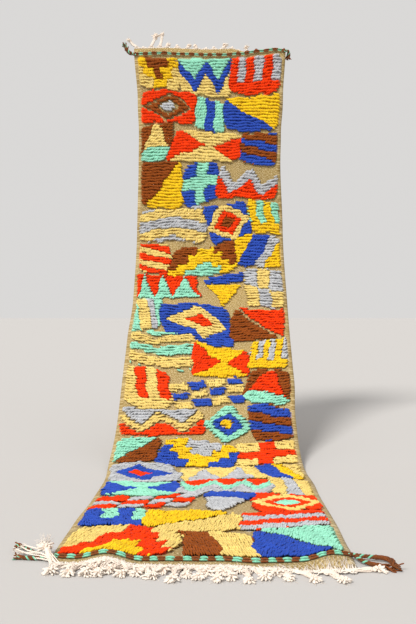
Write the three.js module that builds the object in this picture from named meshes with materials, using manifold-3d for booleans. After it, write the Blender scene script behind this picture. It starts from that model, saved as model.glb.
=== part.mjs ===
import * as THREE from "three";
import { mergeVertices } from "three/addons/utils/BufferGeometryUtils.js";
import Module from "manifold-3d";

// Hand-knotted wool runner. Its top edge is held up, it leans forward, lifts off the floor in one wide
// bend, and its front stretch lies flat. Millimetres, +Z up. +X runs across the runner, +Y back from the
// lying end to the hanging one. The origin is on the floor, under the middle of the flat stretch.

// Side profile of the cloth's back, a row for each stretch from the front end to the top edge.
// turn is how many degrees the stretch bends upwards, steps how many rows of facets it gets.
const stretches = [
  { name: "lies flat", length: 830, turn: 0, steps: 10 },
  { name: "lifts off", length: 300, turn: 42, steps: 8 },
  { name: "leans", length: 620, turn: 10, steps: 6 },
  { name: "turns upright", length: 520, turn: 35, steps: 8 },
  { name: "hangs", length: 785, turn: 3, steps: 8 },
];
const clothLength = stretches.reduce((sum, stretch) => sum + stretch.length, 0);
const flatHalf = stretches[0].length / 2;

// Side edges: how far the cloth reaches left and right of the centre line, along its length.
const sideEdges = [
  { along: 0, left: 357, right: 329 },
  { along: 100, left: 361, right: 336 },
  { along: 310, left: 358, right: 342 },
  { along: 540, left: 348, right: 342 },
  { along: 730, left: 346, right: 348 },
  { along: 980, left: 359, right: 342 },
  { along: 1190, left: 353, right: 343 },
  { along: 1390, left: 353, right: 355 },
  { along: 1600, left: 350, right: 356 },
  { along: 1820, left: 339, right: 358 },
  { along: 2190, left: 334, right: 352 },
  { along: 2500, left: 329, right: 343 },
  { along: 2640, left: 328, right: 346 },
  { along: 2800, left: 334, right: 356 },
  { along: 3055, left: 352, right: 370 },
];

// Thicknesses, and the widths of the strips without pile.
const weaveThickness = 4;
const selvedgeThickness = 5;
const pileThickness = 15;
const selvedgeWidth = 16;
const pileRise = 6;
const plainFront = 46;
const plainTop = 43;
const fieldColumns = 12;

// The front end is bowed, its corners lying further back than its middle and the right half bulging
// forward, and it rises in low waves, the edge itself by the share atEdge of them. Its plain strip is wider
// towards the right corner.
const cornerSetback = 22;
const frontBulge = [
  { across: 30, forward: 0 },
  { across: 130, forward: 14 },
  { across: 290, forward: 11 },
  { across: 340, forward: 3 },
];
const endReach = 170;
const frontWaves = [
  { across: -229, lift: 15, reach: 75, atEdge: 1 },
  { across: 284, lift: 15, reach: 76, atEdge: 0.2 },
];
const stripSpread = [
  { across: 120, wider: 0 },
  { across: 240, wider: 28 },
  { across: 320, wider: 33 },
];

// The top edge dips between its corners. Its woven strip folds back behind the right part.
const topReach = 320;
const topRises = [
  { across: -352, rise: 0 },
  { across: -205, rise: 3.5 },
  { across: 0, rise: -4 },
  { across: 150, rise: 0.5 },
  { across: 250, rise: 15 },
  { across: 320, rise: 24 },
  { across: 370, rise: 16 },
];
const foldAngles = [
  { across: 100, angle: 12 },
  { across: 200, angle: 80 },
];

// Twined end cords, two strands side by side that lie on the woven strips.
const gap = 0.3;
const cordGap = 0.5;
const cordHalfWidth = 8;
const cordHalfHeight = 4;
const cordFront = 27;
const cordTop = 31;
const cordInset = 6;
const cordSides = 8;
const foldStrip = cordTop - cordHalfWidth;
const frontStrip = cordFront - cordHalfWidth;

// Fringes: a cord of warp loops along the end, from which the plaits leave, each ending in a knot.
const loopRadius = 2;
const plaitTip = 1.4;
const plaitRadius = 4;
const knotRadius = 8;
const plaitSides = 6;

// How the plaits lie: on the floor they droop, halfway along, to a share of the height they start at.
// At the top they leave straight, hang down or stand up behind the edge, and hang straight past a bend.
const droopShare = 0.8;
const straightStart = 4;
const hangsBehind = 13;
const standsBehind = 3;
const bendShare = 0.3;

const plaitGirths = [
  { at: 0, radius: plaitTip },
  { at: 0.1, radius: plaitRadius },
  { at: 0.4, radius: plaitRadius },
  { at: 0.72, radius: plaitRadius },
  { at: 0.82, radius: knotRadius },
  { at: 0.94, radius: knotRadius },
  { at: 1, radius: plaitRadius },
];

// Plaits on the floor: where each leaves the end, where its knot lies, and how far in front.
const frontPlaits = [
  { root: -318, knot: -342, reach: 47 },
  { root: -284, knot: -301, reach: 53 },
  { root: -246, knot: -262, reach: 47 },
  { root: -214, knot: -236, reach: 51 },
  { root: -171, knot: -186, reach: 49 },
  { root: -140, knot: -155, reach: 41 },
  { root: -105, knot: -120, reach: 55 },
  { root: -66, knot: -75, reach: 73 },
  { root: -38, knot: -47, reach: 50 },
  { root: -14, knot: -20, reach: 64 },
  { root: 22, knot: 20, reach: 74 },
  { root: 52, knot: 50, reach: 59 },
  { root: 80, knot: 86, reach: 74 },
  { root: 112, knot: 121, reach: 48 },
  { root: 158, knot: 172, reach: 47 },
  { root: 206, knot: 225, reach: 43 },
  { root: 262, knot: 285, reach: 50 },
  { root: 322, knot: 374, reach: 6 },
];

// Plaits at the top: crest is how far each bulges over the edge, height where its knot ends up,
// measured from the edge. The ones with a height above zero stand, the rest hang behind the cloth.
const topPlaits = [
  { root: -338, knot: -380, crest: 20, height: 44 },
  { root: -306, knot: -312, crest: 6, height: -82 },
  { root: -272, knot: -247, crest: 34, height: 64 },
  { root: -229, knot: -216, crest: 36, height: 74 },
  { root: -196, knot: -191, crest: 10, height: 14 },
  { root: -146, knot: -150, crest: 15, height: -78 },
  { root: -96, knot: -91, crest: 10, height: 14 },
  { root: -55, knot: -60, crest: 10, height: 14 },
  { root: -12, knot: -6, crest: 6, height: -86 },
  { root: 29, knot: 24, crest: 9, height: -76 },
  { root: 74, knot: 79, crest: 12, height: 16 },
  { root: 112, knot: 119, crest: 6, height: -74 },
  { root: 150, knot: 143, crest: 6, height: -88 },
  { root: 184, knot: 184, crest: 16, height: 36 },
  { root: 226, knot: 231, crest: 9, height: -80 },
  { root: 268, knot: 262, crest: 9, height: -86 },
  { root: 308, knot: 315, crest: 9, height: -74 },
  { root: 346, knot: 350, crest: 9, height: -82 },
];

// Corner tassels: the ends of an end cord, parted into two braids. Each braid is a list of steps away
// from the end of its cord: out past the side edge, back, and up. At the front right the first braid's
// loose end curls round and meets the second.
const braidRadius = 4.5;
const braidSides = 6;
const braidRings = 10;
const braidGirths = Array.from(
  { length: braidRings },
  (_, i) => ({ at: i / (braidRings - 1), radius: braidRadius }),
);
const tasselRoot = 12;
const tassels = [
  {
    name: "tassel_front_left",
    side: -1,
    end: "front",
    braids: [
      [{ out: 30, back: 16, up: -2 }, { out: 62, back: 40, up: 0 }, { out: 100, back: 60, up: 8 }],
      [{ out: 28, back: -6, up: -3 }, { out: 56, back: -4, up: -3 }, { out: 86, back: 2, up: -2 }],
    ],
  },
  {
    name: "tassel_front_right",
    side: 1,
    end: "front",
    braids: [
      [
        { out: 20, back: -4, up: -1 },
        { out: 44, back: -8, up: -2 },
        { out: 64, back: -10, up: -3 },
        { out: 79, back: -22, up: -4 },
        { out: 83, back: -44, up: -5 },
        { out: 77, back: -66, up: -5.5 },
      ],
      [
        { out: 9, back: -19, up: -2 },
        { out: 19, back: -32, up: -4 },
        { out: 35, back: -45, up: -5 },
        { out: 66, back: -60, up: -6 },
        { out: 92, back: -72, up: -6.5 },
      ],
    ],
  },
  {
    name: "tassel_top_left",
    side: -1,
    end: "top",
    braids: [
      [{ out: 22, back: 2, up: 12 }, { out: 40, back: 6, up: 34 }, { out: 52, back: 4, up: 52 }],
      [{ out: 18, back: 10, up: 6 }, { out: 32, back: 15, up: 20 }, { out: 43, back: 14, up: 36 }],
    ],
  },
  {
    name: "tassel_top_right",
    side: 1,
    end: "top",
    braids: [
      [{ out: 12, back: 6, up: -3 }, { out: 16, back: 12, up: -16 }, { out: 12, back: 18, up: -34 }],
      [{ out: 12, back: 14, up: 2 }, { out: 10, back: 24, up: -12 }, { out: 2, back: 30, up: -32 }],
    ],
  },
];

// How finely a tube's path is followed when its rings are set, and the shortest edge a joined solid keeps.
const frameSteps = 200;
const shortestEdge = 0.05;

const wasm = await Module();
wasm.setup();

const radians = THREE.MathUtils.degToRad;
const smooth = THREE.MathUtils.smoothstep;

// Value of a table's column at a place, eased from row to row.
function tabled(rows, place, column, at) {
  if (at <= rows[0][place]) return rows[0][column];
  const upper = rows.findIndex((row) => row[place] >= at);
  if (upper < 0) return rows[rows.length - 1][column];
  const [low, high] = [rows[upper - 1], rows[upper]];
  return THREE.MathUtils.lerp(low[column], high[column], smooth(at, low[place], high[place]));
}

// Point of the side profile at a length along the cloth, with its slope there in radians.
function profileAt(along) {
  let [y, z, slope, left] = [-flatHalf, 0, 0, along];
  for (const { length, turn } of stretches) {
    const isLast = left <= length || length === stretches[stretches.length - 1].length;
    const used = isLast ? left : length;
    const bend = (radians(turn) * used) / length;
    const chord = bend ? (2 * used * Math.sin(bend / 2)) / bend : used;
    y += chord * Math.cos(slope + bend / 2);
    z += chord * Math.sin(slope + bend / 2);
    slope += bend;
    left -= used;
    if (isLast) break;
  }
  return { y, z, slope };
}

// Point of the cloth: along its length, across its width, and out from its back towards the pile.
function clothPoint(along, across, out) {
  const foldAt = clothLength - foldStrip;
  const folded = Math.max(0, along - foldAt);
  const { y, z, slope } = profileAt(along - folded);
  const tilt = slope - (folded ? radians(tabled(foldAngles, "across", "angle", across)) : 0);
  const atFront = 1 - smooth(along, 0, endReach);
  const atTop = smooth(along, clothLength - topReach, clothLength - cordTop);
  const inStrip = THREE.MathUtils.clamp(1 - along / frontStrip, 0, 1);
  const wave = frontWaves.reduce(
    (sum, { across: centre, lift, reach, atEdge }) =>
      sum
        + lift * THREE.MathUtils.lerp(1, atEdge, inStrip) * (1 - smooth(Math.abs(across - centre), 0, reach)),
    0,
  );
  const wider = tabled(stripSpread, "across", "wider", across) * inStrip;
  const bulge = tabled(frontBulge, "across", "forward", across);
  const setback = cornerSetback * (across / sideEdges[0].left) ** 2 - bulge - wider;
  return new THREE.Vector3(
    across,
    y + folded * Math.cos(tilt) - out * Math.sin(tilt) + setback * atFront,
    z + folded * Math.sin(tilt) + out * Math.cos(tilt) + wave * atFront
      + tabled(topRises, "across", "rise", across) * atTop,
  );
}

const edgeAt = (along, side) => tabled(sideEdges, "along", side, along);

// How far the pile side stands off the back, at a length along the cloth and a distance from its edge.
function thicknessAt(along, fromEdge) {
  const fromFront = smooth(along, plainFront, plainFront + pileRise);
  const fromTop = 1 - smooth(along, clothLength - plainTop - pileRise, clothLength - plainTop);
  const inField = smooth(fromEdge, selvedgeWidth, selvedgeWidth + pileRise) * fromFront * fromTop;
  const woven = fromEdge <= selvedgeWidth && fromFront * fromTop > 0 ? selvedgeThickness : weaveThickness;
  return THREE.MathUtils.lerp(woven, pileThickness, inField);
}

// Lengths along the cloth at which it gets a row of points: the stretches' steps and the end strips.
function rowsAlong() {
  const ends = [
    0,
    cordFront - cordHalfWidth,
    cordFront + cordHalfWidth,
    plainFront,
    plainFront + pileRise,
    endReach / 2,
    clothLength - plainTop - pileRise,
    clothLength - plainTop,
    clothLength - cordTop - cordHalfWidth,
    clothLength - foldStrip,
    clothLength,
  ];
  const rows = [...ends];
  let start = 0;
  for (const { length, steps } of stretches) {
    for (let step = 1; step <= steps; step++) {
      const row = start + (length * step) / steps;
      if (ends.every((end) => Math.abs(end - row) > 2 * pileRise)) rows.push(row);
    }
    start += length;
  }
  return rows.sort((a, b) => a - b);
}

// Distances from the left edge at which a row of that width gets a point.
function columnsAcross(width) {
  const margin = selvedgeWidth + pileRise;
  const field = Array.from(
    { length: fieldColumns + 1 },
    (_, i) => margin + ((width - 2 * margin) * i) / fieldColumns,
  );
  return [0, selvedgeWidth, ...field, width - selvedgeWidth, width];
}

// Closed surface through rings of points, the first and last ring capped with a fan round its middle.
function loft(rings) {
  const points = rings.flat();
  const sides = rings[0].length;
  const faces = [];
  for (let ring = 0; ring + 1 < rings.length; ring++) {
    for (let side = 0; side < sides; side++) {
      const next = (side + 1) % sides;
      const [a, b] = [ring * sides + side, ring * sides + next];
      faces.push(a, b, a + sides, b, b + sides, a + sides);
    }
  }
  for (const [first, turned] of [[0, true], [(rings.length - 1) * sides, false]]) {
    const middle = new THREE.Vector3();
    for (let side = 0; side < sides; side++) middle.addScaledVector(points[first + side], 1 / sides);
    points.push(middle);
    for (let side = 0; side < sides; side++) {
      const rim = [first + side, first + ((side + 1) % sides)];
      faces.push(...(turned ? rim.reverse() : rim), points.length - 1);
    }
  }
  return geometryOf(points, faces);
}

function geometryOf(points, faces) {
  const geometry = new THREE.BufferGeometry().setFromPoints(points);
  geometry.setIndex(faces);
  geometry.computeVertexNormals();
  return geometry;
}

// The cloth: a grid of points on its pile side and one on its back, closed round the rim.
function clothGeometry() {
  const points = [];
  const faces = [];
  const rows = rowsAlong();
  let columns = 0;
  for (const along of rows) {
    const left = edgeAt(along, "left");
    const width = left + edgeAt(along, "right");
    const offsets = columnsAcross(width);
    columns = offsets.length;
    for (const offset of offsets) {
      const thickness = thicknessAt(along, Math.min(offset, width - offset));
      points.push(clothPoint(along, offset - left, thickness));
      points.push(clothPoint(along, offset - left, 0));
    }
  }
  const front = (row, column) => 2 * (row * columns + column);
  const back = (row, column) => front(row, column) + 1;
  const quad = (a, b, c, d) => faces.push(a, b, c, a, c, d);
  for (let row = 0; row + 1 < rows.length; row++) {
    for (let column = 0; column + 1 < columns; column++) {
      const next = column + 1;
      quad(front(row, column), front(row, next), front(row + 1, next), front(row + 1, column));
      quad(back(row, next), back(row, column), back(row + 1, column), back(row + 1, next));
    }
    const last = columns - 1;
    quad(back(row, 0), front(row, 0), front(row + 1, 0), back(row + 1, 0));
    quad(front(row, last), back(row, last), back(row + 1, last), front(row + 1, last));
  }
  const top = rows.length - 1;
  for (let column = 0; column + 1 < columns; column++) {
    const next = column + 1;
    quad(back(0, column), back(0, next), front(0, next), front(0, column));
    quad(front(top, column), front(top, next), back(top, next), back(top, column));
  }
  return geometryOf(points, faces);
}

// Where an end cord runs along the cloth, and how far in from the edges it stops.
const cordAlong = { front: cordFront, top: clothLength - cordTop };

// Outline of a cord that runs across the cloth, round a middle given along the cloth, across it and out
// from its back.
function ringRound(along, across, out, halfWidth, halfHeight, sides) {
  return Array.from({ length: sides }, (_, i) => {
    const angle = (2 * Math.PI * i) / sides;
    return clothPoint(along + halfWidth * Math.cos(angle), across, out + halfHeight * Math.sin(angle));
  });
}

function cordRing(end, across) {
  const out = weaveThickness + cordGap + cordHalfHeight;
  return ringRound(cordAlong[end], across, out, cordHalfWidth, cordHalfHeight, cordSides);
}

function cordEnd(end, side) {
  const edge = edgeAt(cordAlong[end], side < 0 ? "left" : "right");
  return side * (edge - cordInset);
}

// The cloth's own columns at a length along it, measured from the centre line.
function columnsAt(along) {
  const left = edgeAt(along, "left");
  return columnsAcross(left + edgeAt(along, "right")).map((offset) => offset - left);
}

function cordGeometry(end) {
  const inner = columnsAt(cordAlong[end]).slice(1, -1);
  return loft([cordEnd(end, -1), ...inner, cordEnd(end, 1)].map((across) => cordRing(end, across)));
}

// Joining solids.
function solidOf(geometry) {
  const bare = geometry.clone();
  bare.deleteAttribute("normal");
  bare.deleteAttribute("uv");
  const merged = mergeVertices(bare);
  return new wasm.Manifold(
    new wasm.Mesh({
      numProp: 3,
      vertProperties: merged.attributes.position.array,
      triVerts: new Uint32Array(merged.index.array),
    }),
  );
}

function joined(geometries) {
  const whole = wasm.Manifold.union(geometries.map(solidOf)).simplify(shortestEdge);
  const mesh = whole.getMesh();
  const geometry = new THREE.BufferGeometry();
  geometry.setAttribute("position", new THREE.BufferAttribute(mesh.vertProperties, 3));
  geometry.setIndex(new THREE.BufferAttribute(mesh.triVerts, 1));
  geometry.computeVertexNormals();
  return geometry;
}

// Tube through points, closed at both ends. girths holds a row for each ring: how far along the tube
// it is, from 0 to 1, and its radius.
function tube(points, girths, sides) {
  const curve = new THREE.CatmullRomCurve3(points);
  const frames = curve.computeFrenetFrames(frameSteps);
  const rings = girths.map(({ at, radius }) => {
    const step = Math.round(at * frameSteps);
    const centre = curve.getPointAt(step / frameSteps);
    return Array.from({ length: sides }, (_, i) => {
      const angle = (2 * Math.PI * i) / sides;
      return centre
        .clone()
        .addScaledVector(frames.normals[step], radius * Math.cos(angle))
        .addScaledVector(frames.binormals[step], radius * Math.sin(angle));
    });
  });
  return loft(rings);
}

// The cord of warp loops that runs just past an end of the cloth.
const loopAlong = { front: -gap - loopRadius, top: clothLength + gap + loopRadius };
const loopOut = { front: loopRadius, top: weaveThickness / 2 };

function loopCord(end) {
  const columns = columnsAt(end === "front" ? 0 : clothLength);
  return loft(columns.map(
    (across) => ringRound(loopAlong[end], across, loopOut[end], loopRadius, loopRadius, plaitSides),
  ));
}

// Presses a geometry flat underneath, where it would reach below the floor.
function pressed(geometry) {
  const place = geometry.attributes.position;
  for (let i = 0; i < place.count; i++) place.setZ(i, Math.max(0, place.getZ(i)));
  return geometry;
}

function frontFringe() {
  const pieces = [loopCord("front")];
  for (const { root, knot, reach } of frontPlaits) {
    const start = clothPoint(loopAlong.front, root, loopOut.front);
    const edge = clothPoint(loopAlong.front, knot, loopOut.front).y;
    const end = new THREE.Vector3(knot, edge - reach - knotRadius, knotRadius);
    const middle = start.clone().lerp(end, 0.5).setZ(Math.max(plaitRadius, start.z * droopShare));
    pieces.push(pressed(tube([start, middle, end], plaitGirths, plaitSides)));
  }
  return joined(pieces);
}

function topFringe() {
  const pieces = [loopCord("top")];
  for (const { root, knot, crest, height } of topPlaits) {
    const start = clothPoint(loopAlong.top, root, loopOut.top);
    const led = clothPoint(loopAlong.top + straightStart, root, loopOut.top);
    const bulge = clothPoint(loopAlong.top + crest, (root + knot) / 2, loopOut.top);
    const hangs = height < 0;
    const flop = hangs ? hangsBehind : standsBehind;
    const behind = bulge.y + flop;
    const middle = bulge.clone().setY(bulge.y + flop / 2);
    const end = new THREE.Vector3(knot, behind, start.z + height);
    const points = [start, led, middle, end];
    if (hangs) points.splice(3, 0, new THREE.Vector3(bulge.x, behind, start.z + height * bendShare));
    pieces.push(tube(points, plaitGirths, plaitSides));
  }
  return joined(pieces);
}

function tasselGeometry({ side, end, braids }) {
  const cord = cordEnd(end, side);
  const rootRings = [gap, tasselRoot].map((out) => cordRing(end, cord + side * out));
  if (side < 0) rootRings.forEach((ring) => ring.reverse());
  const start = clothPoint(
    cordAlong[end],
    cord + side * (tasselRoot - braidRadius),
    weaveThickness + cordGap + cordHalfHeight,
  );
  const pieces = braids.map((steps) => {
    const rest = steps.map(
      ({ out, back, up }) => new THREE.Vector3(start.x + side * out, start.y + back, start.z + up),
    );
    return tube([start, ...rest], braidGirths, braidSides);
  });
  return joined([loft(rootRings), ...pieces]);
}

// Finishes.
const finish = (color, roughness) => new THREE.MeshStandardMaterial({ color, roughness, metalness: 0 });
const wool = finish(0xb09a62, 0.95);
const twined = finish(0x80502a, 0.9);
const cotton = finish(0xf2e9dc, 0.9);

function piece(name, geometry, material) {
  const mesh = new THREE.Mesh(geometry, material);
  mesh.name = name;
  return mesh;
}

const group = new THREE.Group();
group.add(
  piece("runner", clothGeometry(), wool),
  piece("end_cord_front", cordGeometry("front"), twined),
  piece("end_cord_top", cordGeometry("top"), twined),
  piece("fringe_front", frontFringe(), cotton),
  piece("fringe_top", topFringe(), cotton),
  ...tassels.map((tassel) => piece(tassel.name, tasselGeometry(tassel), twined)),
);

export default group;
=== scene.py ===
"""Hand-knotted wool runner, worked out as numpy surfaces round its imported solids.

The woven ground, the rows of knotted pile, the twined end cords, the plaited fringes and the corner
tassels all follow one function, cloth_point, which bends a flat runner into the shape it hangs and
lies in. Lengths are in millimetres until a mesh is made.
"""
import math

import bpy
import numpy as np
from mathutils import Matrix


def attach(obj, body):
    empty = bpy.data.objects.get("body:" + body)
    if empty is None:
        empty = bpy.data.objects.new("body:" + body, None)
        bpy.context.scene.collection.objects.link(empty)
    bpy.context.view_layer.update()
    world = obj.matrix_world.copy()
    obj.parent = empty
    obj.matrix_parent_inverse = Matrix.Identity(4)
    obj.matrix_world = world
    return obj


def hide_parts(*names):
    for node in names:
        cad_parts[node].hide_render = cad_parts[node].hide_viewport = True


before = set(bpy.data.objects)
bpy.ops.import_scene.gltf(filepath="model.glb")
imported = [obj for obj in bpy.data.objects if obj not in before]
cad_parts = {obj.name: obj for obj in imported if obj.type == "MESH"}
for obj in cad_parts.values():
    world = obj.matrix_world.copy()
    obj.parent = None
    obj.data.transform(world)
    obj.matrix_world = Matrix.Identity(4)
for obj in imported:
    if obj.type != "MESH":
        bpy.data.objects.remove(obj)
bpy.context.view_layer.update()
root_body = "root"
MM = 0.001

# Side profile of the cloth's back: length of each stretch, and the degrees it bends upwards.
STRETCHES = ((830, 0), (300, 42), (620, 10), (520, 35), (785, 3))
CLOTH_LENGTH = sum(length for length, turn in STRETCHES)
FLAT_HALF = STRETCHES[0][0] / 2

# How far the cloth reaches left and right of the centre line, along its length.
LEFT_EDGE = (
    (0, 357), (100, 361), (310, 358), (540, 348), (730, 346), (980, 359), (1190, 353), (1390, 353),
    (1600, 350), (1820, 339), (2190, 334), (2500, 329), (2640, 328), (2800, 334), (3055, 352),
)
RIGHT_EDGE = (
    (0, 329), (100, 336), (310, 342), (540, 342), (730, 348), (980, 342), (1190, 343), (1390, 355),
    (1600, 356), (1820, 358), (2190, 352), (2500, 343), (2640, 346), (2800, 356), (3055, 370),
)

# Thicknesses and strips of the cloth, as in the solids.
WEAVE, SELVEDGE = 4, 5
SELVEDGE_WIDTH, PLAIN_FRONT, PLAIN_TOP = 16, 46, 43

# Shape of the two ends, as in the solids, and how far in it reaches. The front corners are set back. A
# wave has its place across, its lift, its half width, and the share of it left at the very edge. The
# bulge, the widened strip and the rises of the top edge are tables of a place across and millimetres, and
# the fold is one of a place across and the degrees that the top strip turns back.
CORNER_SETBACK, END_REACH, TOP_REACH = 22, 170, 320
FRONT_WAVES = ((-229, 15, 75, 1), (284, 15, 76, 0.2))
FRONT_BULGE = ((30, 0), (130, 14), (290, 11), (340, 3))
STRIP_SPREAD = ((120, 0), (240, 28), (320, 33))
TOP_RISES = ((-352, 0), (-205, 3.5), (0, -4), (150, 0.5), (250, 15), (320, 24), (370, 16))
FOLD_ANGLES = ((100, 12), (200, 80))

# The end cords: distance of their middle from the ends, half sizes, gap over the weave, and how far short
# of the sides they stop. Then the strips between each cord and its end, and how far out its middle is.
CORD_FRONT, CORD_TOP = 27, 31
CORD_HALF_WIDTH, CORD_HALF_HEIGHT, CORD_GAP, CORD_INSET = 8, 4, 0.5, 6
FRONT_STRIP, FOLD_STRIP = CORD_FRONT - CORD_HALF_WIDTH, CORD_TOP - CORD_HALF_WIDTH
CORD_OUT = WEAVE + CORD_GAP + CORD_HALF_HEIGHT

# Number of sine waves in the smooth noise.
RIPPLE_WAVES = 7


def smooth(low, high, value):
    """Smoothstep: 0 up to low, 1 from high, and 3t^2 - 2t^3 between."""
    t = np.clip((value - low) / (high - low), 0, 1)
    return t * t * (3 - 2 * t)


def tabled(rows, at):
    """Value of a table at each place, eased by smoothstep from row to row."""
    places, values = np.array(rows, float).T
    at = np.clip(at, places[0], places[-1])
    upper = np.clip(np.searchsorted(places, at), 1, len(places) - 1)
    share = smooth(places[upper - 1], places[upper], at)
    return values[upper - 1] + (values[upper] - values[upper - 1]) * share


def profile(along):
    """Side profile: each stretch is an arc, and its chord 2R sin(bend/2) points at its middle slope."""
    y, z, slope = np.full(along.shape, -FLAT_HALF, float), np.zeros(along.shape), np.zeros(along.shape)
    start = 0
    for i, (length, turn) in enumerate(STRETCHES):
        low = -np.inf if i == 0 else 0
        high = np.inf if i == len(STRETCHES) - 1 else length
        used = np.clip(along - start, low, high)
        bend = math.radians(turn) / length * used
        chord = used * np.sinc(bend / (2 * np.pi))
        y += chord * np.cos(slope + bend / 2)
        z += chord * np.sin(slope + bend / 2)
        slope += bend
        start += length
    return y, z, slope


def cloth_point(along, across, out):
    """Bends the flat runner: the profile's point, moved out along its normal, plus the set-back corners,
    bulge, waves and widened strip of the front end, the rises of the top edge, and the way its strip
    turns back."""
    along, across, out = np.broadcast_arrays(*(np.asarray(a, float) for a in (along, across, out)))
    folded = np.maximum(0, along - (CLOTH_LENGTH - FOLD_STRIP))
    y, z, slope = profile(along - folded)
    tilt = slope - np.where(folded > 0, np.radians(tabled(FOLD_ANGLES, across)), 0)
    at_front = 1 - smooth(0, END_REACH, along)
    at_top = smooth(CLOTH_LENGTH - TOP_REACH, CLOTH_LENGTH - CORD_TOP, along)
    in_strip = np.clip(1 - along / FRONT_STRIP, 0, 1)
    wave = sum(
        lift * (1 + (at_edge - 1) * in_strip) * (1 - smooth(0, reach, np.abs(across - at)))
        for at, lift, reach, at_edge in FRONT_WAVES
    )
    setback = CORNER_SETBACK * (across / LEFT_EDGE[0][1]) ** 2 - tabled(FRONT_BULGE, across)
    setback = setback - tabled(STRIP_SPREAD, across) * in_strip
    return np.stack([
        across,
        y + folded * np.cos(tilt) - out * np.sin(tilt) + setback * at_front,
        z + folded * np.sin(tilt) + out * np.cos(tilt) + wave * at_front + tabled(TOP_RISES, across) * at_top,
    ], axis=-1)


def across_at(along, share):
    """Place across the cloth: share -1 is its left edge there and 1 its right edge."""
    left, right = tabled(LEFT_EDGE, along), tabled(RIGHT_EDGE, along)
    return (right - left) / 2 + share * (left + right) / 2


def edge_at(along, side):
    """Place across of the cloth's edge, side -1 left and 1 right."""
    return side * tabled(LEFT_EDGE if side < 0 else RIGHT_EDGE, along)


def ripples(x, y, size, seed):
    """Smooth noise from -1 to 1: sine waves of about one size in random directions, their sum divided by
    the root of their number."""
    draw = np.random.default_rng(seed)
    turn, phase = draw.uniform(0, 2 * np.pi, (2, RIPPLE_WAVES))
    pace = 2 * np.pi / (size * draw.uniform(0.7, 1.5, RIPPLE_WAVES))
    total = sum(
        np.sin(p * (x * np.cos(t) + y * np.sin(t)) + f) for p, t, f in zip(pace, turn, phase)
    )
    return np.clip(total / math.sqrt(RIPPLE_WAVES), -1, 1)


# How far a tube's end points stand out, as a share of its radius there.
TUBE_TIP = 0.4


def mesh_object(name, points, faces, material, layers=(), maps=()):
    """Mesh of points in millimetres and arrays of faces. layers are values for each point, maps are UV
    pairs for each corner of each face, in the faces' order."""
    mesh = bpy.data.meshes.new(name)
    points = np.asarray(points, float).reshape(-1, 3) * MM
    sizes = np.concatenate([np.full(len(part), part.shape[1]) for part in faces])
    corners = np.concatenate([part.ravel() for part in faces])
    mesh.vertices.add(len(points))
    mesh.vertices.foreach_set("co", points.ravel())
    mesh.loops.add(len(corners))
    mesh.loops.foreach_set("vertex_index", corners.astype(np.int32))
    mesh.polygons.add(len(sizes))
    mesh.polygons.foreach_set("loop_start", (np.cumsum(sizes) - sizes).astype(np.int32))
    mesh.polygons.foreach_set("use_smooth", np.ones(len(sizes), bool))
    for layer, values in layers:
        values = np.asarray(values, np.float32)
        kind = "FLOAT" if values.ndim == 1 else "FLOAT_COLOR"
        field = "value" if values.ndim == 1 else "color"
        mesh.attributes.new(layer, kind, "POINT").data.foreach_set(field, values.ravel())
    for chart, pairs in maps:
        mesh.uv_layers.new(name=chart).data.foreach_set("uv", np.asarray(pairs, np.float32).ravel())
    mesh.update(calc_edges=True)
    mesh.validate()
    mesh.materials.append(material)
    piece = bpy.data.objects.new(name, mesh)
    bpy.context.scene.collection.objects.link(piece)
    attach(piece, root_body)
    return piece


def carried_frames(paths, aside=None):
    """Directions along and square to each path: the first sideways direction, aside if given, is made
    square to the start, and at each next point the last one to the new direction."""
    forward = np.gradient(paths, axis=1)
    forward /= np.linalg.norm(forward, axis=2, keepdims=True)
    side = np.empty_like(paths)
    last = np.eye(3)[np.argmin(np.abs(forward[:, 0]), axis=1)] if aside is None else np.array(aside, float)
    for step in range(paths.shape[1]):
        last = last - forward[:, step] * np.sum(last * forward[:, step], axis=1, keepdims=True)
        last = last / np.linalg.norm(last, axis=1, keepdims=True)
        side[:, step] = last
    return forward, side, np.cross(forward, side)


def run_along(paths):
    """Length of each path from its start to each of its points."""
    return np.cumsum(np.linalg.norm(np.diff(paths, axis=1, prepend=paths[:, :1]), axis=2), axis=1)


def tube_faces(steps, sides):
    """Faces of a tube, and each corner's place round it, from 0 to 1, and ring number: first those of the
    bands between its rings, then those of its two ends, which meet in a point that counts as one ring
    more. The points are those of the rings, then the two end points."""
    ring, spoke = np.meshgrid(np.arange(steps - 1), np.arange(sides), indexing="ij")
    here, there = ring * sides + spoke, ring * sides + (spoke + 1) % sides
    bands = np.stack([here, there, there + sides, here + sides], axis=-1).reshape(-1, 4)
    around = np.stack([spoke, spoke + 1, spoke + 1, spoke], axis=-1).reshape(-1, 4) / sides
    level = np.stack([ring, ring, ring + 1, ring + 1], axis=-1).reshape(-1, 4)
    rim = np.arange(sides)
    turned, last, tip = (rim + 1) % sides, (steps - 1) * sides, np.full(sides, steps * sides)
    caps = np.concatenate([
        np.stack([turned, rim, tip], axis=-1), np.stack([last + rim, last + turned, tip + 1], axis=-1),
    ])
    fan = np.stack([rim + 1, rim, rim + 0.5], axis=-1) / sides
    cap_around = np.concatenate([fan, fan[:, [1, 0, 2]]])
    cap_level = np.repeat([(0, 0, -1), (steps - 1, steps - 1, steps)], sides, axis=0)
    return (bands, around, level), (caps, cap_around, cap_level)


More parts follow.
